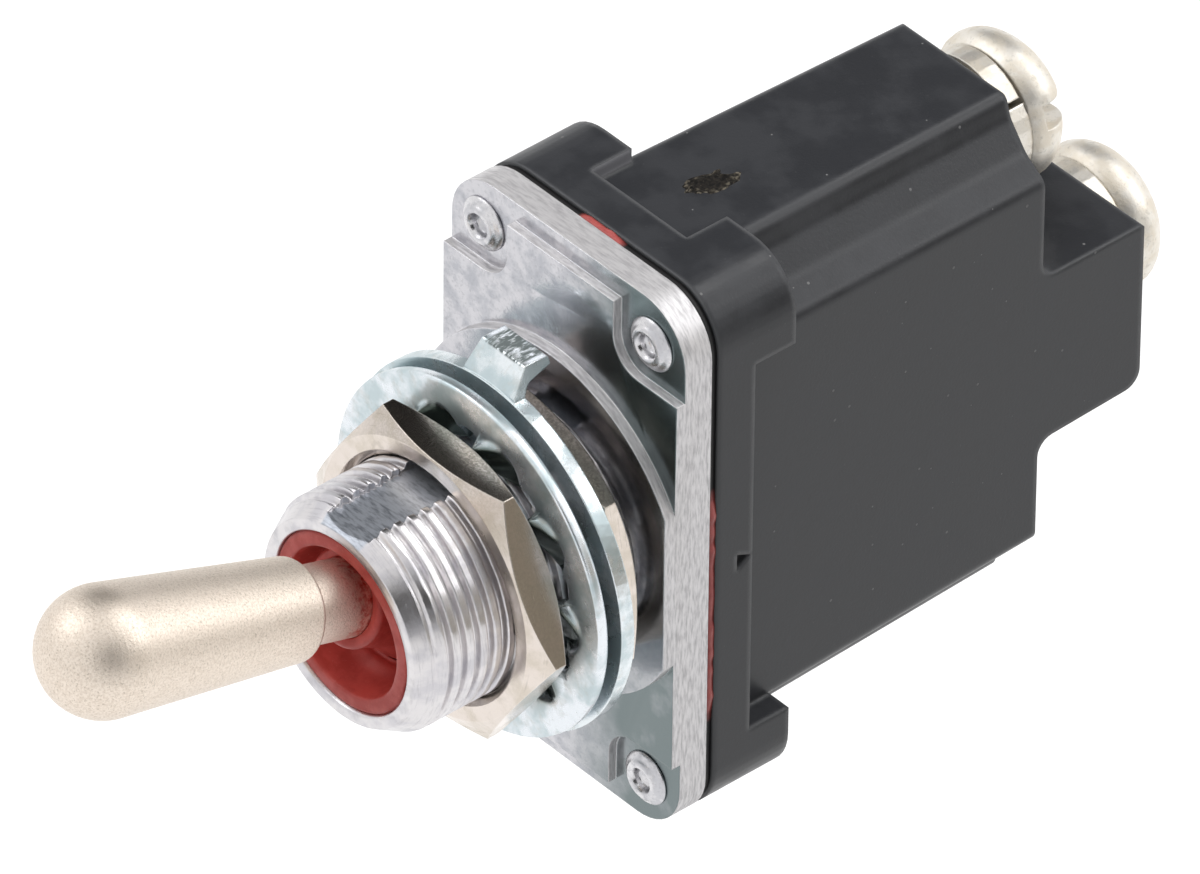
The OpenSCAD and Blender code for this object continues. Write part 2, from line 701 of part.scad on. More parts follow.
// A binding head screw, with its head's underside at Y = 0
module screw(turn, l) {
    rim = 0.3 * head_h;
    color("#cdc8bd") difference() {
        spin() polygon(concat([[0, -l], [screw_r - 0.3, -l], [screw_r, -l + 0.4], [screw_r, 0],
            [head_r - 0.4, 0], [head_r - 0.08, 0.45]], [for (k = [0 : 12])
                [head_r * cos(90 * k / 12), rim + (head_h - rim) * sin(90 * k / 12)]]));
        rotate([0, turn, 0]) translate([-slot_w / 2, head_h - slot_d, -head_r - 1])
            cube([slot_w, slot_d + 1, 2 * head_r + 2]);
    }
}

// Height of a screw head's underside over the housing
head_seat = post_proud + split_t + split_rise + 2 * seat_gap;

module screw_upper() {
    translate([0, step_y + head_seat, terminal_z]) screw(upper_slot_turn, upper_tap - tip_gap + head_seat);
}

module screw_middle() {
    translate([0, middle_y + head_seat, 0]) screw(middle_slot_turn, middle_tap - tip_gap + head_seat);
}

// A split lock washer that climbs over one turn, standing on the terminal's face at Y = 0
module split_washer(turn) {
    steps = 32;
    inner_r = screw_r + 0.15;
    pts = [for (k = [0 : steps]) let (a = turn + split_gap / 2 + (360 - split_gap) * k / steps,
        y = seat_gap + split_rise * k / steps)
        each [for (c = [[inner_r, 0], [split_r, 0], [split_r, split_t], [inner_r, split_t]])
            [c[0] * cos(a), y + c[1], c[0] * sin(a)]]];
    color("lightgray") polyhedron(pts, concat([[0, 1, 2, 3]],
        [for (k = [0 : steps - 1], j = [0 : 3]) let (m = (j + 1) % 4)
            [4 * k + j, 4 * (k + 1) + j, 4 * (k + 1) + m, 4 * k + m]],
        [[for (j = [3 : -1 : 0]) 4 * steps + j]]));
}

module split_washer_upper() { translate([0, step_y + post_proud, terminal_z]) split_washer(40); }

module split_washer_middle() { translate([0, middle_y + post_proud, 0]) split_washer(200); }

cover();
gasket();
housing();
rivet_1();
rivet_2();
rivet_3();
rivet_4();
nut_front();
nut_back();
lock_washer();
keying_washer();
lever();
seal_collar();
seal();
pivot_pin();
pin_retainer();
plunger();
plunger_spring();
saddle();
contact_blade();
moving_contact();
fixed_contact();
common_terminal();
end_terminal();
screw_upper();
screw_middle();
split_washer_upper();
split_washer_middle();
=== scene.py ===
import bpy
import bmesh
import json
import math
import numpy as np
from mathutils import Matrix, Vector


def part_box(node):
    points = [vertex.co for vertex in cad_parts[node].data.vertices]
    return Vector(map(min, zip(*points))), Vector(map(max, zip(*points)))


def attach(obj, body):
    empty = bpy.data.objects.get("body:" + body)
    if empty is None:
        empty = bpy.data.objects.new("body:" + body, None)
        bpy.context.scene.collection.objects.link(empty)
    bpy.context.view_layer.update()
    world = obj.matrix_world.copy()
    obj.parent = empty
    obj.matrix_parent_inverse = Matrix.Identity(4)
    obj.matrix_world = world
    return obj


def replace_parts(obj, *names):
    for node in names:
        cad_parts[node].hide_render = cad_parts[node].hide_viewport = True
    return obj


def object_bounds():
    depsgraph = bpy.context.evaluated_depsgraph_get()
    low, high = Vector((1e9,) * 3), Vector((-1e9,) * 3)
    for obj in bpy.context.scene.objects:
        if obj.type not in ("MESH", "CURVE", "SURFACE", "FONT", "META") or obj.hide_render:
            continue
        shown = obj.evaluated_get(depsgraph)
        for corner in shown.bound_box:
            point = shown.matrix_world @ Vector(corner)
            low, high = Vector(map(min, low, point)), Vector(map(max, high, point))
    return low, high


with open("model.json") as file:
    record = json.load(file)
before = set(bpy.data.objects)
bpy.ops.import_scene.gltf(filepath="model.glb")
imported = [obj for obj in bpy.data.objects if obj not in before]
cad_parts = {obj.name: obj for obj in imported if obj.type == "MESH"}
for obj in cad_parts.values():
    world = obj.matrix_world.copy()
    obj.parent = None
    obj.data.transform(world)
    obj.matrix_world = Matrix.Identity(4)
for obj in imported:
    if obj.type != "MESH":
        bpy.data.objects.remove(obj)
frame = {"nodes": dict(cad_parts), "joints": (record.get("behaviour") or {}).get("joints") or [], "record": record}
cadBox = [list(map(float, corner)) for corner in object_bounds()]
nodes = frame["nodes"]
mm = 0.001
print("frame loaded:", len(nodes), "nodes")

cameraView = {
    "azimuth": 48.537,      # degrees, turned from the front towards +X
    "elevation": 38.727,
    "roll": 0.631,
    "distance": 860.101,    # mm from the point looked at
    "target": (0.0, 10.1, 0.0),
    "slideRight": 0.334,    # mm across the view
    "slideUp": 2.275,
    "lens": 569.2,
}


def addObject(name, data):
    obj = bpy.data.objects.new(name, data)
    bpy.context.scene.collection.objects.link(obj)
    return obj


def addCamera(c):
    # right, up and back are the camera's own axes: back points from the switch to the camera
    az, el, roll = (math.radians(c[k]) for k in ("azimuth", "elevation", "roll"))
    back = np.array([math.sin(az) * math.cos(el), -math.cos(az) * math.cos(el), math.sin(el)])
    right = np.cross([0.0, 0.0, 1.0], back)
    right /= np.linalg.norm(right)
    up = np.cross(back, right)
    r = math.cos(roll) * right + math.sin(roll) * up
    u = math.cos(roll) * up - math.sin(roll) * right
    place = np.array(c["target"]) + c["slideRight"] * r + c["slideUp"] * u + c["distance"] * back
    data = bpy.data.cameras.new("viewCamera")
    data.lens = c["lens"]
    data.sensor_width = 36.0
    data.sensor_fit = "HORIZONTAL"
    data.clip_start = 0.01
    data.clip_end = 10.0
    obj = addObject("viewCamera", data)
    m = np.eye(4)
    m[:3, 0], m[:3, 1], m[:3, 2], m[:3, 3] = r, u, back, place * mm
    obj.matrix_world = Matrix(m.tolist())
    bpy.context.scene.camera = obj


addCamera(cameraView)


def feed(tree, node, values):
    # each input takes either a plain value or the socket that drives it
    for key, value in values.items():
        if isinstance(value, bpy.types.NodeSocket):
            tree.links.new(value, node.inputs[key])
        else:
            node.inputs[key].default_value = value


def addNode(tree, kind, feeds=None, **settings):
    n = tree.nodes.new("ShaderNode" + kind)
    for key, value in settings.items():
        setattr(n, key, value)
    feed(tree, n, feeds or {})
    return n


def calc(tree, what, a, b=0.0, clamp=False):
    return addNode(tree, "Math", {0: a, 1: b}, operation=what, use_clamp=clamp).outputs[0]


def times(tree, a, b, clamp=False):
    return calc(tree, "MULTIPLY", a, b, clamp)


def vectorCalc(tree, what, a, b):
    return addNode(tree, "VectorMath", {0: a, 1: b}, operation=what).outputs


def mixColors(tree, amount, a, b):
    return addNode(tree, "Mix", {0: amount, 6: a, 7: b}, data_type="RGBA").outputs[2]


def mixValues(tree, amount, a, b):
    return addNode(tree, "Mix", {0: amount, 2: a, 3: b}, data_type="FLOAT").outputs[0]


def ramp(tree, value, low, high, start=0.0, end=1.0, kind="LINEAR"):
    # goes from start to end while value goes from low to high
    feeds = {"Value": value, "From Min": low, "From Max": high, "To Min": start, "To Max": end}
    return addNode(tree, "MapRange", feeds, interpolation_type=kind).outputs[0]


def axisPart(tree, vector, axis):
    return addNode(tree, "SeparateXYZ", {0: vector}).outputs[axis]


def placeMm(tree):
    # the point on the piece in millimetres
    spot = addNode(tree, "TexCoord").outputs["Object"]
    return addNode(tree, "VectorMath", {0: spot, 3: 1.0 / mm}, operation="SCALE").outputs[0]


def facing(tree):
    # the surface's direction in the piece's own axes
    return addNode(tree, "TexCoord").outputs["Normal"]


def shade(r, g, b):
    # a screen colour from 0 to 255 as the linear colour that the shaders take
    c = np.array([r, g, b]) / 255.0
    lin = np.where(c <= 0.04045, c / 12.92, ((c + 0.055) / 1.055) ** 2.4)
    return (*map(float, lin), 1.0)


kinds = {"f": "NodeSocketFloat", "v": "NodeSocketVector"}


def newGroup(name, takes, gives):
    # takes is a list of (name, kind, value), and gives one of (name, kind)
    tree = bpy.data.node_groups.new(name, "ShaderNodeTree")
    for title, kind, value in takes:
        socket = tree.interface.new_socket(name=title, in_out="INPUT", socket_type=kinds[kind])
        if value is not None:
            socket.default_value = value
    for title, kind in gives:
        tree.interface.new_socket(name=title, in_out="OUTPUT", socket_type=kinds[kind])
    return tree, tree.nodes.new("NodeGroupInput").outputs, tree.nodes.new("NodeGroupOutput").inputs


def makeGrain():
    # small bumps: a noise of the given size in mm, raised by Depth in mm
    tree, take, give = newGroup("fineGrain",
                                [("Size", "f", 0.1), ("Depth", "f", 0.01), ("Normal", "v", None)],
                                [("Normal", "v")])
    spot = vectorCalc(tree, "DIVIDE", placeMm(tree), take["Size"])[0]
    noise = addNode(tree, "TexNoise", {"Vector": spot, "Scale": 1.0, "Detail": 3.0, "Roughness": 0.6})
    bump = addNode(tree, "Bump", {"Height": noise.outputs[0], "Distance": times(tree, take["Depth"], mm),
                                  "Normal": take["Normal"]})
    tree.links.new(bump.outputs[0], give["Normal"])
    return tree


def makeMottle():
    # soft patches between Low and High of a noise, stretched by Stretch, each about Size mm
    tree, take, give = newGroup("mottle",
                                [("Size", "f", 1.0), ("Stretch", "v", (1, 1, 1)), ("Low", "f", 0.4),
                                 ("High", "f", 0.6), ("Shift", "f", 0.0), ("Detail", "f", 4.0)],
                                [("Mask", "f")])
    spot = vectorCalc(tree, "DIVIDE", placeMm(tree), take["Stretch"])[0]
    spot = vectorCalc(tree, "DIVIDE", spot, take["Size"])[0]
    spot = vectorCalc(tree, "ADD", spot, take["Shift"])[0]
    noise = addNode(tree, "TexNoise", {"Vector": spot, "Scale": 1.0, "Detail": take["Detail"],
                                       "Roughness": 0.6}).outputs[0]
    tree.links.new(ramp(tree, noise, take["Low"], take["High"], kind="SMOOTHSTEP"), give["Mask"])
    return tree


def makeEdge():
    # rounds the shading of edges within Radius mm, and gives their mask, which the finishes use for a painted edge
    # highlight
    tree, take, give = newGroup("softEdge", [("Radius", "f", 0.1), ("Gain", "f", 6.0)],
                                [("Normal", "v"), ("Mask", "f")])
    bevel = addNode(tree, "Bevel", {"Radius": times(tree, take["Radius"], mm)}, samples=8).outputs[0]
    flat = addNode(tree, "NewGeometry").outputs["Normal"]
    same = vectorCalc(tree, "DOT_PRODUCT", bevel, flat)["Value"]
    mask = times(tree, calc(tree, "SUBTRACT", 1.0, same), take["Gain"], clamp=True)
    tree.links.new(bevel, give["Normal"])
    tree.links.new(mask, give["Mask"])
    return tree


def makeDust():
    # scattered specks, each inside its own cell of Size mm, in the given Share of the cells
    tree, take, give = newGroup("dust", [("Size", "f", 0.9), ("Share", "f", 0.3)], [("Mask", "f")])
    spot = vectorCalc(tree, "DIVIDE", placeMm(tree), take["Size"])[0]
    cell = addNode(tree, "TexVoronoi", {"Vector": spot, "Scale": 1.0}).outputs
    pick = addNode(tree, "SeparateColor", {0: cell["Color"]}).outputs
    inside = calc(tree, "LESS_THAN", cell["Distance"], times(tree, pick[1], 0.09))
    chosen = calc(tree, "LESS_THAN", pick[0], take["Share"])
    tree.links.new(times(tree, times(tree, inside, chosen), 0.8), give["Mask"])
    return tree


grainGroup, mottleGroup, edgeGroup, dustGroup = makeGrain(), makeMottle(), makeEdge(), makeDust()


def useGroup(tree, group, **values):
    return addNode(tree, "Group", values, node_tree=group).outputs


def mottle(tree, **values):
    return useGroup(tree, mottleGroup, **values)["Mask"]


def newMaterial(name, **fixed):
    material = bpy.data.materials.new(name)
    material.use_nodes = True
    tree = material.node_tree
    skin = tree.nodes["Principled BSDF"]
    feed(tree, skin, fixed)
    return material, tree, skin


# what a finish has if it says nothing else; sizes and depths are in mm
plainFinish = dict(metal=1.0, specular=0.5,
                   patchLow=0.4, patchHigh=0.62, patchStretch=(1, 1, 1),
                   streakLow=0.5, streakHigh=0.7, streakStretch=(1, 1, 1), streakShift=7.3,
                   streakAmount=0.5, streakRough=0.05, edge=0.1, edgeHighlightAmount=0.5)


def finish(name, own):
    # one worn surface: two colours in patches, one in streaks, a painted highlight along edges, grain and varying
    # gloss
    f = dict(plainFinish, **own)
    material, tree, skin = newMaterial(name, **{"Metallic": f["metal"],
                                                "Specular IOR Level": f["specular"]})
    edge = useGroup(tree, edgeGroup, Radius=f["edge"])
    patch = mottle(tree, Size=f["patchSize"], Stretch=f["patchStretch"], Low=f["patchLow"],
                   High=f["patchHigh"])
    streak = mottle(tree, Size=f["streakSize"], Stretch=f["streakStretch"], Low=f["streakLow"],
                    High=f["streakHigh"], Shift=f["streakShift"])
    color = mixColors(tree, patch, f["color"], f["patch"])
    color = mixColors(tree, times(tree, streak, f["streakAmount"]), color, f["streak"])
    # a lighter colour painted along the edges as a highlight
    color = mixColors(tree, times(tree, edge["Mask"], f["edgeHighlightAmount"]), color, f["edgeHighlightColor"])
    rough = ramp(tree, patch, 0.0, 1.0, *f["rough"])
    rough = calc(tree, "ADD", rough, times(tree, streak, f["streakRough"]))
    grain = useGroup(tree, grainGroup, Size=f["grainSize"], Depth=f["grainDepth"], Normal=edge["Normal"])
    feed(tree, skin, {"Base Color": color, "Roughness": rough, "Normal": grain["Normal"]})
    return material


leverFinish = dict(color=shade(238, 226, 213), patch=shade(226, 213, 199), streak=shade(176, 164, 148),
                   edgeHighlightColor=shade(244, 236, 226), patchSize=0.11, patchLow=0.42, patchHigh=0.6,
                   streakSize=0.09, streakLow=0.56, streakHigh=0.66, streakAmount=0.6, edge=0.08,
                   grainSize=0.09, grainDepth=0.018, rough=(0.42, 0.5))
nutFinish = dict(color=shade(222, 212, 204), patch=shade(208, 198, 186), streak=shade(150, 140, 126),
                 edgeHighlightColor=shade(250, 244, 236), patchSize=2.0, streakSize=0.16,
                 streakStretch=(8, 0.5, 8), streakLow=0.56, streakAmount=0.25, grainSize=0.08,
                 grainDepth=0.003, rough=(0.16, 0.24))
zincFinish = dict(color=shade(214, 221, 226), patch=shade(196, 210, 214), streak=shade(190, 192, 186),
                  edgeHighlightColor=shade(240, 248, 250), patchSize=2.2, streakSize=0.6, streakAmount=0.35,
                  grainSize=0.15, grainDepth=0.004, rough=(0.15, 0.24))
toothFinish = dict(zincFinish, color=shade(236, 241, 246), rough=(0.26, 0.34), metal=0.84)
tabFinish = dict(zincFinish, color=shade(236, 242, 245), rough=(0.22, 0.3), metal=0.84)
coverFinish = dict(color=shade(200, 199, 203), patch=shade(176, 177, 183), streak=shade(152, 153, 158),
                   edgeHighlightColor=shade(228, 228, 232), patchSize=0.9, patchLow=0.38, patchHigh=0.66,
                   streakSize=0.18, streakAmount=0.4, edge=0.12, grainSize=0.14, grainDepth=0.004,
                   rough=(0.13, 0.22))
bushingFinish = dict(color=shade(220, 217, 218), patch=shade(204, 202, 206), streak=shade(164, 162, 166),
                     edgeHighlightColor=shade(236, 236, 240), patchSize=1.4, patchStretch=(1, 3, 1), streakSize=0.2,
                     streakStretch=(5, 0.5, 5), streakAmount=0.35, edge=0.06, grainSize=0.1,
                     grainDepth=0.006, rough=(0.28, 0.36))
screwFinish = dict(color=shade(240, 235, 226), patch=shade(232, 224, 210), streak=shade(192, 188, 178),
                   edgeHighlightColor=shade(244, 240, 232), patchSize=1.2, streakSize=0.3, streakLow=0.55,
                   streakAmount=0.45, edge=0.15, grainSize=0.12, grainDepth=0.012, rough=(0.42, 0.52),
                   metal=0.86)
rivetFinish = dict(color=shade(218, 217, 219), patch=shade(196, 196, 200), streak=shade(150, 150, 155),
                   edgeHighlightColor=shade(244, 244, 246), patchSize=0.8, streakSize=0.2, streakAmount=0.35,
                   edge=0.06, grainSize=0.1, grainDepth=0.005, rough=(0.24, 0.34))
resinFinish = dict(metal=0.0, color=shade(45, 46, 49), patch=shade(51, 52, 55), streak=shade(74, 74, 76),
                   edgeHighlightColor=shade(92, 93, 95), patchSize=3.0, streakSize=0.16, streakLow=0.66,
                   streakHigh=0.74, streakAmount=0.6, edge=0.42, grainSize=0.16, grainDepth=0.006,
                   rough=(0.32, 0.4), specular=0.35)
scarFinish = dict(resinFinish, color=shade(22, 21, 20), patch=shade(40, 37, 34), patchSize=0.2,
                  streak=shade(104, 98, 88), streakSize=0.1, streakLow=0.64, edge=0.04, rough=(0.8, 0.95),
                  specular=0.12)
rubberFinish = dict(metal=0.0, color=shade(202, 80, 72), patch=shade(186, 66, 58),
                    streak=shade(214, 122, 112), edgeHighlightColor=shade(196, 108, 100), patchSize=1.2,
                    streakSize=0.14, streakLow=0.62, streakAmount=0.4, edge=0.15, edgeHighlightAmount=0.3,
                    grainSize=0.12, grainDepth=0.006, rough=(0.42, 0.52))
gasketFinish = dict(rubberFinish, color=shade(164, 78, 74), patch=shade(140, 60, 58))

finishes = {
    "cover": finish("castZinc", coverFinish),
    "bushing": finish("turnedZinc", bushingFinish),
    "teeth": finish("toothZinc", toothFinish),
    "keyRing": finish("tabZinc", tabFinish),
    "nut_plate": finish("brightNickel", nutFinish),
    "washer_plate": finish("clearZinc", zincFinish),
    "lever_plate": finish("satinNickel", leverFinish),
    "screw_plate": finish("screwNickel", screwFinish),
    "rivet_metal": finish("rivetSteel", rivetFinish),
    "seal_rubber": finish("redRubber", rubberFinish),
    "gasket_rubber": finish("gasketRubber", gasketFinish),
    "housing_resin": finish("blackResin", resinFinish),
    "scar": finish("tornResin", scarFinish),
    "inner_steel": finish("innerSteel", zincFinish),
    "plunger_resin": finish("plungerResin", resinFinish),
    "saddle_resin": finish("saddleResin", resinFinish),
    "contact_copper": finish("contactCopper", screwFinish),
    "contact_silver": finish("contactSilver", coverFinish),
}


def blendFinish(tree, amount, color, rough, metal=None):
    # where amount is 1 the surface takes this colour and roughness, and metal if given
    skin = tree.nodes["Principled BSDF"]
    was, wasRough = (skin.inputs[k].links[0].from_socket for k in ("Base Color", "Roughness"))
    feed(tree, skin, {"Base Color": mixColors(tree, amount, was, color),
                      "Roughness": mixValues(tree, amount, wasRough, rough)})
    if metal is not None:
        plain = skin.inputs["Metallic"].default_value
        feed(tree, skin, {"Metallic": mixValues(tree, amount, plain, metal)})


def painted(tree, name):
    # the amount that a piece's own attribute gives
    return addNode(tree, "Attribute", attribute_name=name).outputs["Fac"]


def sideFaces(tree, low, high):
    # 0 on faces square to the Y axis, 1 on the faces round them
    return ramp(tree, calc(tree, "ABSOLUTE", axisPart(tree, facing(tree), "Y")), high, low)


def smearBy(tree, origin, way, near, far):
    # a noisy smear that covers the part up to near mm along way from origin, and thins out by far
    spot = vectorCalc(tree, "SUBTRACT", placeMm(tree), tuple(origin))[0]
    along = vectorCalc(tree, "DOT_PRODUCT", spot, tuple(way))["Value"]
    cover = times(tree, ramp(tree, along, near, far, 1.0, 0.0), 1.1)
    noise = mottle(tree, Size=0.35, Low=0.3, High=0.7, Shift=3.1, Detail=6.0)
    return times(tree, calc(tree, "SUBTRACT", calc(tree, "ADD", noise, cover), 1.0), 1.2, clamp=True)


def paintedReflectionVeil(tree, near, far, bossY):
    # a painted dark reflection: a cloudy veil that thickens along the X axis from near to far mm, and is thinner
    # as far as bossY
    veil = ramp(tree, axisPart(tree, placeMm(tree), "X"), near, far)
    behind = ramp(tree, axisPart(tree, placeMm(tree), "Y"), bossY, bossY + 0.3, 0.4, 1.0)
    cloud = mottle(tree, Size=3.0, Low=0.25, High=0.6, Shift=2.0)
    cloud = calc(tree, "ADD", 0.7, times(tree, cloud, 0.45))
    return times(tree, times(tree, veil, behind), cloud, clamp=True)


def lugWallLight(tree, top):
    # painted light: 1 on the lugs' upright sides above top mm, where the walls are painted pale as if lit from
    # above
    upright = ramp(tree, calc(tree, "ABSOLUTE", axisPart(tree, facing(tree), "X")), 0.8, 0.95)
    over = calc(tree, "SUBTRACT", axisPart(tree, placeMm(tree), "Z"), top)
    return times(tree, upright, times(tree, over, 8.0, clamp=True))


def upFacetShade(tree):
    # painted shade: towards 1 on the nut's sides that face up, which are painted dark, less in a mottle of lighter
    # specks
    upper = ramp(tree, axisPart(tree, facing(tree), "Z"), 0.3, 0.8, 0.0, 0.9)
    lighterSpecks = mottle(tree, Size=0.12, Low=0.4, High=0.62, Shift=8.0, Detail=6.0)
    return times(tree, upper, calc(tree, "SUBTRACT", 1.0, times(tree, lighterSpecks, 0.45)))


def shearedEnd(tree, low, half):
    # torn streaks over the middle of the tab's top, above low mm and within half mm of its middle
    above = times(tree, calc(tree, "SUBTRACT", axisPart(tree, placeMm(tree), "Z"), low), 12.0, clamp=True)
    aside = calc(tree, "ABSOLUTE", axisPart(tree, placeMm(tree), "X"))
    middle = times(tree, calc(tree, "SUBTRACT", half, aside), 8.0, clamp=True)
    torn = mottle(tree, Size=0.3, Stretch=(0.5, 2.0, 1.0), Low=0.35, High=0.55, Shift=5.0)
    return times(tree, times(tree, above, middle), torn)


marks = {                       # colour, roughness and, for some, the metal share of each mark
    # painted shade: dark where the gasket lies back in the joint
    "gasketJointShade": (shade(24, 23, 24), 0.6),
    # painted shade on the nut's upward sides
    "nutTopShade": (shade(128, 121, 112), 0.26),
    # painted shade on the turned parts of the washer's teeth
    "toothTurnShade": (shade(96, 108, 104), 0.2),
    "keyFloor": (shade(190, 195, 204), 0.4, 0.8),
    "keyScraped": (shade(150, 155, 164), 0.34),
    "tabTorn": (shade(104, 112, 112), 0.7, 0.3),
    # painted dark reflection over the plate's right side
    "coverPaintedReflection": (shade(116, 126, 127), 0.22),
    "coverSides": (shade(222, 220, 221), 0.46, 0.6),
    "coverCast": (shade(178, 176, 178), 0.55),
    "neckStain": (shade(196, 104, 90), 0.5),
    "scarFringe": (shade(118, 111, 98), 0.9),
    # painted light on the lugs' upright walls
    "lugWallPaintedLight": (shade(124, 124, 128), 0.5),
    "resinDust": (shade(118, 118, 118), 0.8),
    "rubberDust": (shade(214, 160, 150), 0.8),
}
markPlaces = {                  # mm
    "tabLow": 10.5,             # where the torn end of the washer's tab starts
    "tabHalf": 1.25,
    "reflectionReach": (0.3, 5.0),      # where the painted reflection starts and is full
    "bossY": 7.5,               # front face of the cover's boss, where the veil is thinner
    "stain": (4.6, 6.4),        # distances from the pivot
    "lugTop": 14.2,             # the body's top, above which the lugs stand
}

toggle = next(j for j in frame["joints"] if j["name"] == "lever_toggle")
slide = next(j for j in frame["joints"] if j["name"] == "plunger_slide")
pivot = np.array(toggle["pos_m"]) / mm
leverWay = np.array(slide["axis"], float) / np.linalg.norm(slide["axis"])
leverWay = leverWay if leverWay[1] < 0 else -leverWay   # from the pivot to the ball


def addMarks(looks, at):
    # the wear and stains of each finish, from the lowest to the topmost
    trees = {name: material.node_tree for name, material in finishes.items()}
    bush, plate, torn = trees["bushing"], trees["cover"], trees["scar"]
    keyFloor = painted(bush, "keyFloor")
    scraped = mottle(bush, Size=0.3, Stretch=(2.0, 0.5, 1.0), Low=0.42, High=0.7, Shift=6.0)
    sides = sideFaces(plate, 0.3, 0.7)
    cast = mottle(plate, Size=0.4, Stretch=(2.0, 0.35, 2.0), Low=0.35, High=0.75, Shift=11.0, Detail=8.0)
    ragged = mottle(torn, Size=0.3, Low=0.4, High=0.6, Shift=9.0)
    resin, rubber, lever = trees["housing_resin"], trees["seal_rubber"], trees["lever_plate"]
    for tree, look, amount in (
            (trees["gasket_rubber"], "gasketJointShade", painted(trees["gasket_rubber"], "hidden")),
            (trees["nut_plate"], "nutTopShade", upFacetShade(trees["nut_plate"])),
            (trees["teeth"], "toothTurnShade", painted(trees["teeth"], "turnShade")),
            (bush, "keyFloor", keyFloor),
            (bush, "keyScraped", times(bush, keyFloor, scraped)),
            (trees["keyRing"], "tabTorn", shearedEnd(trees["keyRing"], at["tabLow"], at["tabHalf"])),
            (plate, "coverPaintedReflection", paintedReflectionVeil(plate, *at["reflectionReach"], at["bossY"])),
            (plate, "coverSides", sides),
            (plate, "coverCast", times(plate, sides, cast)),
            (lever, "neckStain", smearBy(lever, pivot, leverWay, *at["stain"])),
            (torn, "scarFringe", times(torn, painted(torn, "fringe"), ragged)),
            (resin, "lugWallPaintedLight", lugWallLight(resin, at["lugTop"])),
            (resin, "resinDust", useGroup(resin, dustGroup, Size=0.9, Share=0.35)["Mask"]),
            (rubber, "rubberDust", useGroup(rubber, dustGroup, Size=0.7, Share=0.3)["Mask"])):
        blendFinish(tree, amount, *looks[look])


addMarks(marks, markPlaces)
for part in frame["record"]["subparts"]:
    for slot in nodes[part["node"]].material_slots:
        slot.material = finishes[part["material_slot"]]
print("finishes made:", len(finishes))


def gridMesh(name, pts, wrapRows=False, wrapCols=False):
    # pts[row, column] holds points in mm; each square of four neighbours is one face
    rows, cols = pts.shape[:2]
    i = np.arange(rows if wrapRows else rows - 1)
    j = np.arange(cols if wrapCols else cols - 1)
    i, j = np.meshgrid(i, j, indexing="ij")
    i2, j2 = (i + 1) % rows, (j + 1) % cols
    quads = np.stack([i * cols + j, i * cols + j2, i2 * cols + j2, i2 * cols + j], -1).reshape(-1, 4)
    mesh = bpy.data.meshes.new(name)
    mesh.vertices.add(rows * cols)
    mesh.vertices.foreach_set("co", (pts * mm).astype(np.float32).ravel())
    mesh.loops.add(quads.size)
    mesh.loops.foreach_set("vertex_index", quads.astype(np.int32).ravel())
    mesh.polygons.add(len(quads))
    mesh.polygons.foreach_set("loop_start", np.arange(0, quads.size, 4, dtype=np.int32))
    mesh.polygons.foreach_set("use_smooth", np.ones(len(quads), bool))
    mesh.update(calc_edges=True)
    mesh.validate()
    return mesh


def paintMesh(mesh, name, values):
    # one value from 0 to 1 for each point of the mesh, that a material can read
    layer = mesh.attributes.new(name, "FLOAT", "POINT")
    layer.data.foreach_set("value", np.asarray(values, np.float32).ravel())


def addPiece(name, mesh, body, slotName, material=None):
    # a finished piece: normals outward, riding on its body, in the slot's finish unless it has its own
    bm = bmesh.new()
    bm.from_mesh(mesh)
    bmesh.ops.remove_doubles(bm, verts=bm.verts, dist=1e-7)
    bmesh.ops.recalc_face_normals(bm, faces=bm.faces)
    bm.to_mesh(mesh)
    bm.free()
    obj = addObject(name, mesh)
    mesh.materials.clear()
    mesh.materials.append(material or finishes[slotName])
    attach(obj, body)
    return obj


def nodeBox(name):
    # the lowest and highest corner of a CAD node in mm
    return [np.array(corner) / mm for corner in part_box(name)]


def soft(t):
    # eases a share from 0 to 1 in and out
    return t * t * (3 - 2 * t)


def wander(seed, at, step):
    # smooth random values from -1 to 1, one knot each step
    knotCount = 4096
    knots = np.random.default_rng(seed).uniform(-1, 1, knotCount)
    at = np.asarray(at, float) / step
    k = np.floor(at).astype(int)
    f = soft(at - k)
    return knots[k % knotCount] * (1 - f) + knots[(k + 1) % knotCount] * f


bushing = {
    "crest": 5.95,          # mm, radius over the thread
    "play": 0.01,           # how far the thread stays inside that radius
    "pitch": 0.794,
    "depth": 0.34,          # the thread is rolled soft and worn, so shallower than a fresh one
    "flat": 0.42,           # share of the pitch that the crest takes, and both flanks together
    "bore": 4.6,
    "leadRadius": 5.2,      # radius where the lead-in starts, at the rim
    "leadLength": 1.35,
    "keyHalf": 1.45,        # half the keyway's width
    "keyFloor": 5.303,      # height of its flat floor over the axis
    "keyColumns": 22,       # of the mesh, across the keyway
    "length": 12.42,        # from the rim into the boss
    "shown": 5.2,           # length from the rim that has the finer rows
    "ragged": 4.9,          # length of the keyway's ragged left edge
    "burr": 0.10,           # how far that edge wanders
    "wall": 0.03,           # the same of the right edge
    "wear": 0.02,           # how far the crests are worn
    "rightWear": (0.10, 0.22),   # how deep the wear is at the keyway's right edge, and how far it reaches
    "leftWear": (0.16, 0.3),
    "columns": 330,         # round the rest
}


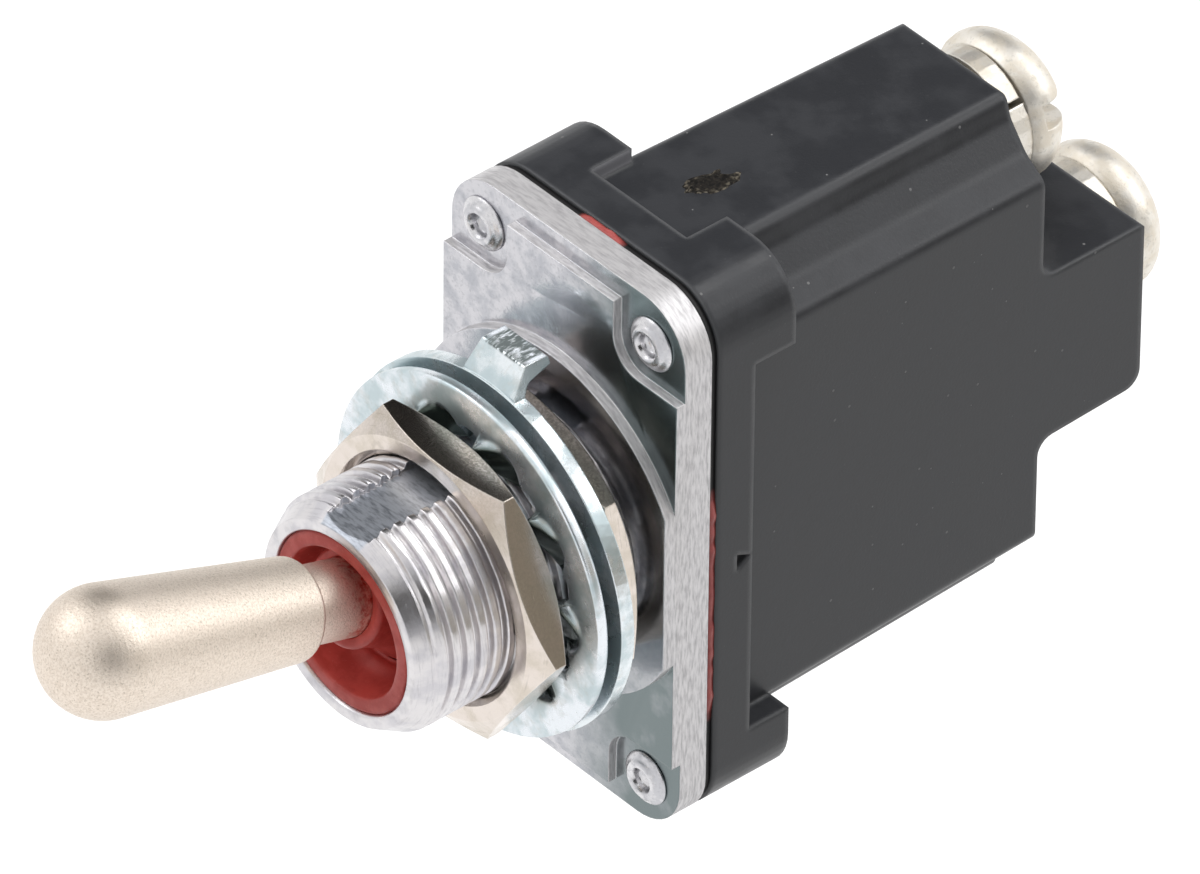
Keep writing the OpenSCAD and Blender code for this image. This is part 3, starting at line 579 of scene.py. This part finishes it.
def threadedBushing(b):
    # radius = crest - depth * valley(u), with u the place along one pitch of the helix; a cone trims the
    # start, and a plane across the top cuts the keyway with upright walls
    rim = nodeBox("cover")[0][1]
    away = np.concatenate([np.linspace(b["length"], b["shown"] + 0.1, 60),
                           np.linspace(b["shown"], 0.02, 150)])[:, None]
    y = rim + away
    keyCols = b["keyColumns"]
    t = np.concatenate([np.linspace(0, 1, keyCols), np.linspace(0, 1, b["columns"])])[None, :]
    inKey = (np.arange(keyCols + b["columns"]) < keyCols)[None, :]
    ragged = away < b["ragged"]
    wallRight = b["keyHalf"] + b["wall"] * wander(3, away, 0.4)
    wallLeft = b["keyHalf"] - b["burr"] * (0.5 + wander(5, away, 0.13)) * ragged
    angle0 = np.arccos(wallRight / b["crest"])
    angle1 = np.pi - np.arccos(wallLeft / b["crest"])
    theta = np.where(inKey, np.pi / 2, angle1 + (angle0 + 2 * np.pi - angle1) * t)
    u = (away / b["pitch"] - theta / (2 * np.pi)) % 1.0
    valley = soft(np.clip((np.abs(2 * u - 1) - b["flat"]) / b["flat"], 0, 1))
    fromLeft = (theta - angle1) * b["crest"]
    fromRight = (angle0 + 2 * np.pi - theta) * b["crest"]
    r = b["crest"] - b["play"] - b["depth"] * valley
    r = r - b["wear"] * (1 + wander(11, theta * 9 + away * 0.3, 1.0)) * (1 - valley)
    deep, reach = b["rightWear"]
    r = r - deep * np.exp(-fromRight / reach) * (1 - valley)
    deep, reach = b["leftWear"]
    r = r - deep * (0.5 + 0.5 * wander(7, away, 0.11)) * np.exp(-fromLeft / reach) * ragged
    lead = b["leadRadius"] + (b["crest"] - b["leadRadius"]) * away / b["leadLength"]
    r = np.minimum(r, lead)
    wall0 = np.arccos(np.clip(wallRight / r, -1, 1))
    wall1 = np.pi - np.arccos(np.clip(wallLeft / r, -1, 1))
    theta = wall1 + (wall0 + 2 * np.pi - wall1) * t
    x = np.where(inKey, wallRight - (wallRight + wallLeft) * t, r * np.cos(theta))
    round0 = np.minimum(b["crest"] - b["play"], lead)
    floorZ = np.minimum(np.sqrt(np.maximum(round0 ** 2 - x ** 2, 0)), b["keyFloor"])
    z = np.where(inKey, floorZ, r * np.sin(theta))
    outer = np.stack([x, y + 0 * x, z], -1)
    # the rim's flat face and the bore, from the same columns
    last = outer[-1]
    way = last[:, [0, 2]] / np.linalg.norm(last[:, [0, 2]], axis=1, keepdims=True)
    rings = np.array([(b["leadRadius"] - 0.07, 0.0), (b["bore"] + 0.09, 0.0), (b["bore"], 0.09),
                      (b["bore"], b["length"])])
    radius, depth = rings[:, :1], rings[:, 1:]
    inner = np.stack([way[:, 0] * radius, rim + depth + 0 * way[:, 0], way[:, 1] * radius], -1)
    pts = np.concatenate([outer, inner], 0)
    mesh = gridMesh("threadedBushing", pts, wrapRows=True, wrapCols=True)
    flat = np.zeros(pts.shape[:2])
    flat[:len(outer), 1:keyCols - 1] = 1.0
    paintMesh(mesh, "keyFloor", flat)
    mesh.set_sharp_from_angle(angle=math.radians(55))
    return addPiece("threadedBushing", mesh, "body", "cover", finishes["bushing"])


def roundEdges(piece, width, angle, segments=3):
    # real rounded edges of the given radius in mm, wherever faces meet at more than angle degrees
    bevel = piece.modifiers.new("roundEdges", "BEVEL")
    bevel.width = width * mm
    bevel.segments = segments
    bevel.limit_method = "ANGLE"
    bevel.angle_limit = math.radians(angle)
    bevel.harden_normals = True
    return piece


def softCopy(name, node, slotName, change=None, material=None):
    # the body's CAD node merged into clean faces, after an optional change to its shape
    mesh = nodes[node].data.copy()
    bm = bmesh.new()
    bm.from_mesh(mesh)
    bmesh.ops.remove_doubles(bm, verts=bm.verts, dist=1e-6)
    if change:
        change(bm)
    bmesh.ops.dissolve_limit(bm, angle_limit=math.radians(0.5), verts=bm.verts, edges=bm.edges)
    bm.to_mesh(mesh)
    bm.free()
    piece = addPiece(name, mesh, "body", slotName, material)
    mesh.polygons.foreach_set("use_smooth", np.ones(len(mesh.polygons), bool))
    mesh.set_sharp_from_angle(angle=math.radians(30))
    return piece


def cutAtBoss(bm):
    # takes the bushing off just ahead of the boss, and closes the cut
    cutY = (nodeBox("cover")[0][1] + bushing["length"] - 0.08) * mm
    cut = bmesh.ops.bisect_plane(bm, geom=bm.verts[:] + bm.edges[:] + bm.faces[:], dist=1e-8,
                                 plane_co=(0, cutY, 0), plane_no=(0, -1, 0), clear_outer=True)
    edges = [e for e in cut["geom_cut"] if isinstance(e, bmesh.types.BMEdge)]
    bmesh.ops.triangle_fill(bm, edges=edges, use_beauty=True)


def coverPlate():
    # the CAD cover without its bushing
    return roundEdges(softCopy("coverPlate", "cover", "cover", cutAtBoss), 0.2, 35)


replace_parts(coverPlate(), "cover")
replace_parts(threadedBushing(bushing), "cover")
print("cover and thread made")

toothedWasher = {
    "tip": 6.12,            # mm, radius of the teeth's tips
    "teeth": 10,
    "toothHalf": 1.42,      # half a tooth's width, at the middle radius
    "middle": 7.0,
    "window": 7.25,         # radius that the gaps between the teeth reach
    "bend": 7.88,           # radius where a tooth starts to turn, at its middle
    "bendSides": 0.75,      # how much further in it starts at its sides
    "turn": 0.42,           # length of the turn along the radius
    "lean": 0.57,           # how far a tooth's sides stand out of the sheet
    "thick": 0.54,
    "tipThick": 0.72,       # share of the thickness left at the tips
    "rimRound": 0.07,       # how far in the rim's rounding starts
    "toothColumns": 25,
    "gapColumns": 13,
}


def toothRing(w):
    # rings from the rim in to the teeth's tips and back behind: each tooth turns about its own middle
    # inside an arched bend line
    low, high = nodeBox("lock_washer")
    outerR, midY = high[0], (low[1] + high[1]) / 2
    period = 2 * np.pi / w["teeth"]
    half = w["toothHalf"] / w["middle"]
    wall = 0.01
    part = np.concatenate([np.linspace(-half, half, w["toothColumns"]),
                           np.linspace(half + wall, period - half - wall, w["gapColumns"])])
    phase = np.tile(part, w["teeth"])
    theta = phase + np.repeat(np.arange(w["teeth"]) * period, len(part))
    inTooth = np.tile(np.arange(len(part)) < w["toothColumns"], w["teeth"])
    across = np.clip((phase - half) / (period - 2 * half), 0, 1)
    inner = np.where(inTooth, w["tip"], w["window"] - 0.5 * (1 - np.sin(np.pi * across)) ** 2)
    lean = np.where(inTooth, -phase / half, -1 + 2 * across) * w["lean"]
    bend = np.where(inTooth, w["bend"] - w["bendSides"] * (phase / half) ** 2, w["bend"] - w["bendSides"])
    q = np.concatenate([np.linspace(0, 0.97, 30), [1.0]])[:, None]
    start = outerR - w["rimRound"]
    radii, places, turnShade = [], [], []
    for side, order in ((-1, q), (1, q[::-1])):
        r = start + (inner - start) * order
        turn = soft(np.clip((bend - r) / w["turn"], 0, 1))
        thick = w["thick"] / 2 * np.where(order > 0.99, w["tipThick"], 1.0)
        radii.append(r)
        places.append(midY + lean * turn + side * thick)
        turnShade.append(turn)
    rim = np.array([(-0.02, 0.23), (0, 0.12), (0, -0.12), (-0.02, -0.23)])[:, :, None] + 0 * theta
    r = np.vstack(radii + [outerR + rim[:, 0]])
    y = np.vstack(places + [midY + rim[:, 1]])
    turnShade = np.vstack(turnShade + [0 * rim[:, 0]])
    pts = np.stack([r * np.cos(theta), y, r * np.sin(theta)], -1)
    mesh = gridMesh("toothRing", pts, wrapRows=True, wrapCols=True)
    # painted shade on the turned part of each tooth
    paintMesh(mesh, "turnShade", turnShade)
    mesh.set_sharp_from_angle(angle=math.radians(50))
    return addPiece("toothRing", mesh, "body", "washer_plate", finishes["teeth"])


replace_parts(toothRing(toothedWasher), "lock_washer")
keyRing = softCopy("keyRing", "keying_washer", "washer_plate", material=finishes["keyRing"])
roundEdges(keyRing, 0.13, 30)
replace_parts(keyRing, "keying_washer")
print("washers made")

bindingScrews = {
    "slotWidth": 1.25,      # mm
    "slotDeep": 1.2,        # depth of the slot's floor at the middle
    "floorFall": 1.15,      # how far the floor has fallen at fallAt from the middle, so that it runs out
    "fallAt": 3.75,
    "mostFall": 1.3,
    "barReach": 5.0,        # half the length of the bar that cuts the slot
    "barTall": 4.0,
    "turns": {"screw_upper": 70, "screw_middle": -50},   # degrees about Y
    "raised": 0.18,         # how far the burred half of the head is pushed along the slot
    "burrAt": 2.6,          # where along the slot that is strongest
    "burrWide": 2.0,        # how far it spreads from there
    "burrFrom": 1.5,        # mm from the screw's axis where it starts
    "burrFull": 2.0,        # mm from there on to its full height
    "burrDeep": 3.1,        # how far below the head's top it reaches
}


def slotBar(c, mid, top, along, aside):
    # a closed bar along the slot, with a floor that falls away towards the head's rim
    half = c["slotWidth"] / 2
    r = np.linspace(-c["barReach"], c["barReach"], 25)[:, None, None]
    w = np.array([-half, half, half, -half])[:, None]
    h = np.array([0, 0, 1, 1])[:, None] * c["barTall"]
    drop = np.minimum(c["floorFall"] * (r / c["fallAt"]) ** 2, c["mostFall"])
    base = np.array([mid[0], top - c["slotDeep"], mid[2]])
    pts = base + along * r + aside * w + np.array([0.0, 1.0, 0.0]) * (h - drop)
    mesh = gridMesh("slotBar", pts, wrapCols=True)
    bm = bmesh.new()
    bm.from_mesh(mesh)
    bmesh.ops.holes_fill(bm, edges=[e for e in bm.edges if e.is_boundary])
    bmesh.ops.recalc_face_normals(bm, faces=bm.faces)
    bm.to_mesh(mesh)
    bm.free()
    return addObject("slotBar", mesh)


def cutOut(piece, tool):
    # gives the piece a new mesh, its own less the tool's shape, and removes the tool
    cut = piece.modifiers.new("slot", "BOOLEAN")
    cut.object = tool
    cut.operation = "DIFFERENCE"
    cut.solver = "EXACT"
    shaped = piece.evaluated_get(bpy.context.evaluated_depsgraph_get())
    mesh = bpy.data.meshes.new_from_object(shaped)
    piece.modifiers.remove(cut)
    piece.data = mesh
    mesh.name = piece.name
    bpy.data.objects.remove(tool)
    return mesh


def slottedScrew(node, c):
    # the CAD screw with a driven-out slot: a bar is cut from its head, and one half is burred outwards
    piece = softCopy(node + "Driven", node, "screw_plate")
    low, high = nodeBox(node)
    mid = (low + high) / 2
    turn = math.radians(c["turns"][node])
    along = np.array([math.sin(turn), 0, math.cos(turn)])
    aside = np.array([math.cos(turn), 0, -math.sin(turn)])
    mesh = cutOut(piece, slotBar(c, mid, high[1], along, aside))
    xyz = np.empty(len(mesh.vertices) * 3)
    mesh.vertices.foreach_get("co", xyz)
    xyz = xyz.reshape(-1, 3) / mm
    off = xyz - mid
    fromSlot = -(off @ aside) - c["slotWidth"] / 2
    fromAxis = np.linalg.norm(off[:, [0, 2]], axis=1)
    push = np.clip((fromSlot + 0.02) / 0.05, 0, 1)
    push *= np.clip((fromAxis - c["burrFrom"]) / c["burrFull"], 0, 1)
    push *= np.exp(-(off @ along - c["burrAt"]) ** 2 / c["burrWide"])
    push *= xyz[:, 1] > high[1] - c["burrDeep"]
    xyz += push[:, None] * c["raised"] * along
    mesh.vertices.foreach_set("co", (xyz * mm).astype(np.float32).ravel())
    mesh.update()
    mesh.set_sharp_from_angle(angle=math.radians(32))
    return roundEdges(piece, 0.08, 40, 2)


for node in bindingScrews["turns"]:
    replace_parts(slottedScrew(node, bindingScrews), node)
print("screws made")

boot = {
    "lip": 0.74,            # mm, width of the flat lip at the rim
    "sink": 0.12,           # the lip's depth below the rim
    "depth": 2.5,           # depth of the trough round the neck
    "throat": 3.05,         # radius left open at the bottom of the wall
    "crease": 0.12,         # share of the radius that the wall's crease takes
    "creaseAt": -0.25,      # its angle from +X in radians
    "creaseWide": 0.13,
    "skirt": 3.7,           # radius of the neck's round skirt about the pivot
    "skirtThick": 0.3,
    "neck": 1.87,
    "bead": 2.42,
    "neckEnd": 4.75,        # distance from the pivot to the end of the neck's bead
}


def spun(profile, turns=160):
    # a closed profile of (radius, distance) turned about the Y axis
    a = np.linspace(0, 2 * np.pi, turns, endpoint=False)[None, :]
    r, y = (np.array(profile, float)[:, k, None] for k in (0, 1))
    return np.stack([r * np.cos(a), y + 0 * a, r * np.sin(a)], -1)


def arc(mid, radius, start, end, steps):
    # points on an arc about mid, from one angle to another in degrees
    a = np.radians(np.linspace(start, end, steps))
    return np.stack([mid[0] + radius * np.cos(a), mid[1] + radius * np.sin(a)], -1)


def smoothPath(points, each=8):
    # a Catmull-Rom curve through points
    p = np.array(points, float)
    p = np.vstack([2 * p[0] - p[1], p, 2 * p[-1] - p[-2]])
    t = np.linspace(0, 1, each, endpoint=False)[:, None]
    parts = []
    for a, b, c, d in zip(p, p[1:], p[2:], p[3:]):
        parts.append(0.5 * (2 * b + (c - a) * t + (2 * a - 5 * b + 4 * c - d) * t ** 2
                            + (3 * b - a - 3 * c + d) * t ** 3))
    return np.vstack(parts + [p[-2:-1]])


def bootRim(b):
    # the lip, the trough's wall and its curled foot, in the bushing
    rim = nodeBox("cover")[0][1]
    outer = bushing["bore"] - 0.03
    face = outer - b["lip"]
    sink, deep, throat = b["sink"], b["depth"], b["throat"]
    front = smoothPath([(outer, sink + 0.15), (outer - 0.1, sink + 0.02), (outer - 0.25, sink),
                        (face + 0.05, sink), (face - 0.06, sink + 0.12), (face - 0.16, sink + 0.7),
                        (face - 0.32, deep - 0.9), (face - 0.62, deep - 0.3), (throat + 0.12, deep),
                        (throat, deep + 0.1)])
    back = [(throat + 0.1, deep + 0.2), (face, deep + 0.6), (outer, deep + 0.6)]
    profile = np.vstack([front, back])
    pts = spun(profile) + np.array([0, rim, 0])
    # one soft crease crosses the wall, deepest halfway down the trough
    angle = np.arctan2(pts[..., 2], pts[..., 0])
    down = np.sin(np.pi * np.clip((profile[:, 1] - 0.1) / deep, 0, 1))[:, None]
    down = down * (np.arange(len(profile)) < len(front))[:, None]
    crease = 1 - b["crease"] * down * np.exp(-((angle - b["creaseAt"]) / b["creaseWide"]) ** 2)
    pts[..., 0] *= crease
    pts[..., 2] *= crease
    mesh = gridMesh("bootRim", pts, wrapRows=True, wrapCols=True)
    return addPiece("bootRim", mesh, "body", "seal_rubber")


def bootNeck(b):
    # the bead and cone on the neck, flaring into a round skirt about the pivot
    bead, end = b["bead"], b["neckEnd"]
    front = smoothPath([(b["neck"], end - 0.02), (bead - 0.22, end), (bead - 0.03, end - 0.16),
                        (bead, end - 0.4), (bead + 0.02, end - 0.9), (bead + 0.12, end - 1.4)], 6)
    skirt = arc((0, 0), b["skirt"], 45, 8, 24)
    inner = arc((0, 0), b["skirt"] - b["skirtThick"], 8, 47, 14)
    profile = np.vstack([front, skirt, inner, [(b["neck"] + 0.2, 2.6), (b["neck"], 2.9)]])
    pts = spun(profile)
    # +Y of the profile is turned to the lever's direction
    right = np.array([1.0, 0, 0])
    rise = np.cross(right, leverWay)
    turned = pivot + pts[..., 0:1] * right + pts[..., 1:2] * leverWay + pts[..., 2:3] * rise
    mesh = gridMesh("bootNeck", turned, wrapRows=True, wrapCols=True)
    return addPiece("bootNeck", mesh, "lever", "seal_rubber")


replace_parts(bootRim(boot), "seal")
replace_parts(bootNeck(boot), "seal_collar")
print("boot made")

squeeze = {
    "inset": 0.16,          # mm, how far the gasket lies inside the flange's edge
    "proud": 0.03,          # how far it is squeezed past that edge
    "grow": 0.1,            # the flange's edge lies this far outside the CAD gasket
    "corner": 2.9,          # radius of the outline's corners
    "side": (-9.0, 4.6),    # stretch of the right side where it shows, from low to high
    "top": (-1.3, 1.8),     # stretch of the top edge where it shows, from left to right
    "bulge": 0.07,          # how far the squeezed edge spreads in front and behind
    "gap": 0.01,            # left free in front and behind
}


def within(v, low, high, fade):
    # 1 between low and high, falling to 0 over fade at either end
    return np.clip((v - low) / fade, 0, 1) * np.clip((high - v) / fade, 0, 1)


def roundedPath(halfW, halfH, corner, step):
    # points round a rectangle with rounded corners, from the right side on
    sides = []
    for cx, cz, start in ((1, 1, 0), (-1, 1, 90), (-1, -1, 180), (1, -1, 270)):
        sides.append(arc((cx * (halfW - corner), cz * (halfH - corner)), corner, start, start + 90, 24))
    rows = []
    for here, after in zip(sides, sides[1:] + sides[:1]):
        a, b = here[-1], after[0]
        steps = max(2, int(np.linalg.norm(b - a) / step))
        rows += [here, a + (b - a) * np.linspace(0, 1, steps, endpoint=False)[1:, None]]
    return np.vstack(rows)


def squeezedGasket(g):
    # a ring along the cover's outline, hidden in the joint except where its edge is squeezed out
    low, high = nodeBox("gasket")
    halfW, halfH = (high[0] - low[0]) / 2 + g["grow"], (high[2] - low[2]) / 2 + g["grow"]
    path = roundedPath(halfW, halfH, g["corner"], 0.08)
    tangent = np.roll(path, -1, 0) - np.roll(path, 1, 0)
    tangent /= np.linalg.norm(tangent, axis=1, keepdims=True)
    along = np.cumsum(np.linalg.norm(path - np.roll(path, 1, 0), axis=1))
    x, z = path[:, 0], path[:, 1]
    shown = np.maximum(within(z, *g["side"], 1.5) * (x > halfW - 0.1),
                       within(x, *g["top"], 0.6) * (z > halfH - 0.1))
    shown = shown * (0.75 + 0.25 * wander(21, along, 0.5))
    edge = -g["inset"] + (g["inset"] + g["proud"]) * shown
    spread = g["bulge"] * shown * (1 + 0.5 * wander(22, along, 0.35))
    front, rear = low[1] + g["gap"], high[1] - g["gap"]
    # rows of: fixed offset, share of the edge's offset, drawn back where it shows, place, lean
    profile = np.array([(-1.2, 0, 0, front, 0), (-0.3, 0, 0, front, 0), (-0.12, 1, 0, front, -0.5),
                        (0, 1, 0.05, front, -0.9), (0, 1, 0, (front + rear) / 2, 0),
                        (0, 1, 0.05, rear, 0.9), (-0.12, 1, 0, rear, 0.5), (-0.3, 0, 0, rear, 0),
                        (-1.2, 0, 0, rear, 0)])
    fixed, share, back, y, lean = (profile[:, k, None] for k in range(5))
    offset = fixed + share * edge - back * shown
    pts = np.stack([x + tangent[:, 1] * offset, y + spread * lean, z - tangent[:, 0] * offset], -1)
    mesh = gridMesh("squeezedGasket", pts, wrapRows=True, wrapCols=True)
    # painted shade where the gasket lies back in the joint, none where it is squeezed out
    paintMesh(mesh, "hidden", np.tile(1 - np.clip(shown * 3, 0, 1), len(profile)))
    return addPiece("squeezedGasket", mesh, "body", "gasket_rubber")


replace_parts(squeezedGasket(squeeze), "gasket")
print("gasket made")

rolledRivet = {
    "shank": 1.05,          # mm
    "head": 1.37,
    "crest": 0.78,          # radius of the rolled ring's top
    "hollow": 0.5,          # radius of the hollow's floor
    "deep": 0.5,            # depth of the hollow
    "under": 0.45,          # thickness of either head
}


def rivetProfile(r, front, rear):
    # from the hollow's floor over the rolled ring, and down the shank to the flat rear head
    head, hollow, crest, under = r["head"], r["hollow"], r["crest"], r["under"]
    roll = smoothPath([(hollow - 0.12, front + r["deep"]), (hollow, front + r["deep"] - 0.1),
                       (hollow + 0.06, front + 0.2), (crest - 0.12, front + 0.04), (crest, front),
                       (crest + 0.15, front + 0.04), (crest + 0.3, front + 0.17),
                       (head - 0.12, front + 0.26), (head - 0.01, front + 0.36), (head, front + 0.42)], 5)
    rest = [(head - 0.04, front + under), (r["shank"], front + under), (r["shank"], rear - under),
            (head, rear - under), (head, rear - 0.12), (head - 0.2, rear), (0.0, rear)]
    return np.vstack([[(0.0, front + r["deep"] + 0.02)], roll, rest])


for k in range(1, 5):
    low, high = nodeBox("rivet_%d" % k)
    pts = spun(rivetProfile(rolledRivet, low[1], high[1]), 64) + (low + high) / 2 * np.array([1, 0, 1])
    mesh = gridMesh("rolledRivet%d" % k, pts, wrapCols=True)
    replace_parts(addPiece("rolledRivet%d" % k, mesh, "body", "rivet_metal"), "rivet_%d" % k)
print("rivets made")

scar = {
    "middle": (0.15, 16.9),      # mm, across and along the body's top
    "half": (0.75, 1.7),
    "rise": 0.10,
    "skin": 0.012,          # how far the bare middle stands over the body
    "sunk": 0.05,           # how far the sheet's underside lies in it
    "top": 14.25,           # height of the body's top where it leaves the cover
    "draft": 1.05,          # degrees that the top leans towards the rear
}


def scarCrust(c):
    # a sheet with a ragged outline on the housing's leaning top, raised in crumbs round a bare middle
    a = np.linspace(0, 2 * np.pi, 180, endpoint=False)[None, :]
    q = np.linspace(0, 1, 50)[:, None]
    ragged = wander(31, a * 20 / (2 * np.pi), 1.0) * np.clip(a, 0, 1) * np.clip(2 * np.pi - a, 0, 1)
    reach = 0.88 + 0.2 * ragged + 0.16 * np.cos(2 * a - 1.1)
    x = c["middle"][0] + c["half"][0] * q * reach * np.cos(a)
    y = c["middle"][1] + c["half"][1] * q * reach * np.sin(a)
    lumps = np.abs(wander(32, x * 4 + y * 0.7 + 90, 0.5) + wander(33, y * 5 - x * 2 + 90, 0.9)) * 0.7
    rise = c["rise"] * lumps * np.clip((1 - q) * 5, 0, 1) * (0.15 + 0.85 * np.clip((q - 0.3) * 2.2, 0, 1))
    bodyTop = c["top"] - math.tan(math.radians(c["draft"])) * (y - nodeBox("housing")[0][1])
    upper = np.stack([x, y, bodyTop + c["skin"] * (1 - q ** 6) + rise], -1)
    lower = np.stack([x, y, bodyTop - c["sunk"] + 0 * x], -1)[::-1]
    mesh = gridMesh("scarCrust", np.concatenate([upper, lower]), wrapCols=True)
    fringe = np.clip((q - 0.62) * 3.5, 0, 1) * np.clip(lumps * 1.6 - 0.25, 0, 1)
    paintMesh(mesh, "fringe", np.concatenate([fringe, 0 * fringe]))
    return addPiece("scarCrust", mesh, "body", "housing_resin", finishes["scar"])


scarCrust(scar)
print("scar made")

studio = {
    "worldLight": 0.42,
    "floorDrop": 60.0,      # mm from the switch's lowest point down to the floor
    "floorSize": 6000.0,
    "floorTone": 0.35,
    "floorGlow": 0.75,
    "aim": (0, 10, 0),      # the point in mm that the lamps are turned to
    "lamps": [              # name, place in mm, size in mm, watts, seen in reflections
        ("leftSoftbox", (-300, -200, 345), 230, 0.34, True),
        ("rightSoftbox", (235, 355, 255), 210, 0.42, True),
        ("overhead", (0, 10, 480), 380, 1.9, False),
        ("ridgeLamp", (50, 268, 425), 150, 0.3, True),
    ],
    "cards": [              # name, size in mm, direction of the middle from the switch, colour
        ("darkAbove", 380.0, (-0.55, 0.5, 0.66), (0.02, 0.02, 0.02)),
        ("darkFront", 350.0, (0.79, -0.32, 0.45), (0.02, 0.02, 0.02)),
        ("oliveRight", 240.0, (0.86, 0.5, 0.05), (0.42, 0.38, 0.31)),
    ],
    "cardDistance": 420.0,
}


def addPlane(name, size, place, normal, material):
    # a flat square sheet of the stage, its middle at place in mm
    half = size / 2
    n = np.array(normal, float) / np.linalg.norm(normal)
    side = np.cross([0, 0, 1], n) if abs(n[2]) < 0.99 else np.array([1.0, 0, 0])
    side /= np.linalg.norm(side)
    rise = np.cross(n, side)
    mid = np.array(place, float)
    pts = [mid + a * half * side + b * half * rise for a, b in ((-1, -1), (1, -1), (1, 1), (-1, 1))]
    mesh = bpy.data.meshes.new(name)
    mesh.from_pydata([tuple(p * mm) for p in pts], [], [(0, 1, 2, 3)])
    mesh.materials.append(material)
    obj = addObject(name, mesh)
    return obj


def seenRays(tree):
    # 1 where the camera, a reflection or a clear part sees the surface, 0 where it only gives light
    path = addNode(tree, "LightPath").outputs
    rays = calc(tree, "ADD", path["Is Camera Ray"], path["Is Glossy Ray"])
    return calc(tree, "ADD", rays, path["Is Transmission Ray"], clamp=True)


def addWorld(s):
    # white where it is seen, dimmer where it lights the switch
    world = bpy.data.worlds.new("studio")
    bpy.context.scene.world = world
    world.use_nodes = True
    tree = world.node_tree
    lit = tree.nodes["Background"]
    feed(tree, lit, {"Color": (1, 1, 1, 1), "Strength": s["worldLight"]})
    seen = addNode(tree, "Background", {"Color": (1, 1, 1, 1), "Strength": 1.0})
    both = addNode(tree, "MixShader", {0: seenRays(tree), 1: lit.outputs[0], 2: seen.outputs[0]})
    tree.links.new(both.outputs[0], tree.nodes["World Output"].inputs["Surface"])


def addFloor(s):
    tone = (s["floorTone"],) * 3 + (1.0,)
    material, tree, skin = newMaterial("paleFloor", **{"Roughness": 0.9, "Base Color": tone,
                                                       "Emission Strength": s["floorGlow"]})
    feed(tree, skin, {"Emission Color": mixColors(tree, seenRays(tree), (0, 0, 0, 1), (1, 1, 1, 1))})
    low = cadBox[0][2] / mm - s["floorDrop"]
    addPlane("floor", s["floorSize"], (0, 0, low), (0, 0, 1), material)


def addLamps(s):
    for name, place, size, watts, seen in s["lamps"]:
        data = bpy.data.lights.new(name, "AREA")
        data.shape = "SQUARE"
        data.size = size * mm
        data.energy = watts
        lamp = addObject(name, data)
        toAim = np.array(s["aim"], float) - np.array(place, float)
        lamp.location = np.array(place) * mm
        lamp.rotation_euler = Vector(toAim).to_track_quat("-Z", "Y").to_euler()
        lamp.visible_glossy = seen


def addCards(s):
    # sheets that only reflections see
    for name, size, way, tone in s["cards"]:
        w = np.array(way, float) / np.linalg.norm(way)
        material = newMaterial(name, **{"Roughness": 1.0, "Base Color": (*tone, 1.0),
                                        "Specular IOR Level": 0.0})[0]
        card = addPlane(name, size, w * s["cardDistance"], -w, material)
        card.visible_camera = False
        card.visible_diffuse = False
        card.visible_shadow = False


addWorld(studio)
addFloor(studio)
addLamps(studio)
addCards(studio)
print("stage set")
bpy.context.scene.view_settings.view_transform = "Standard"
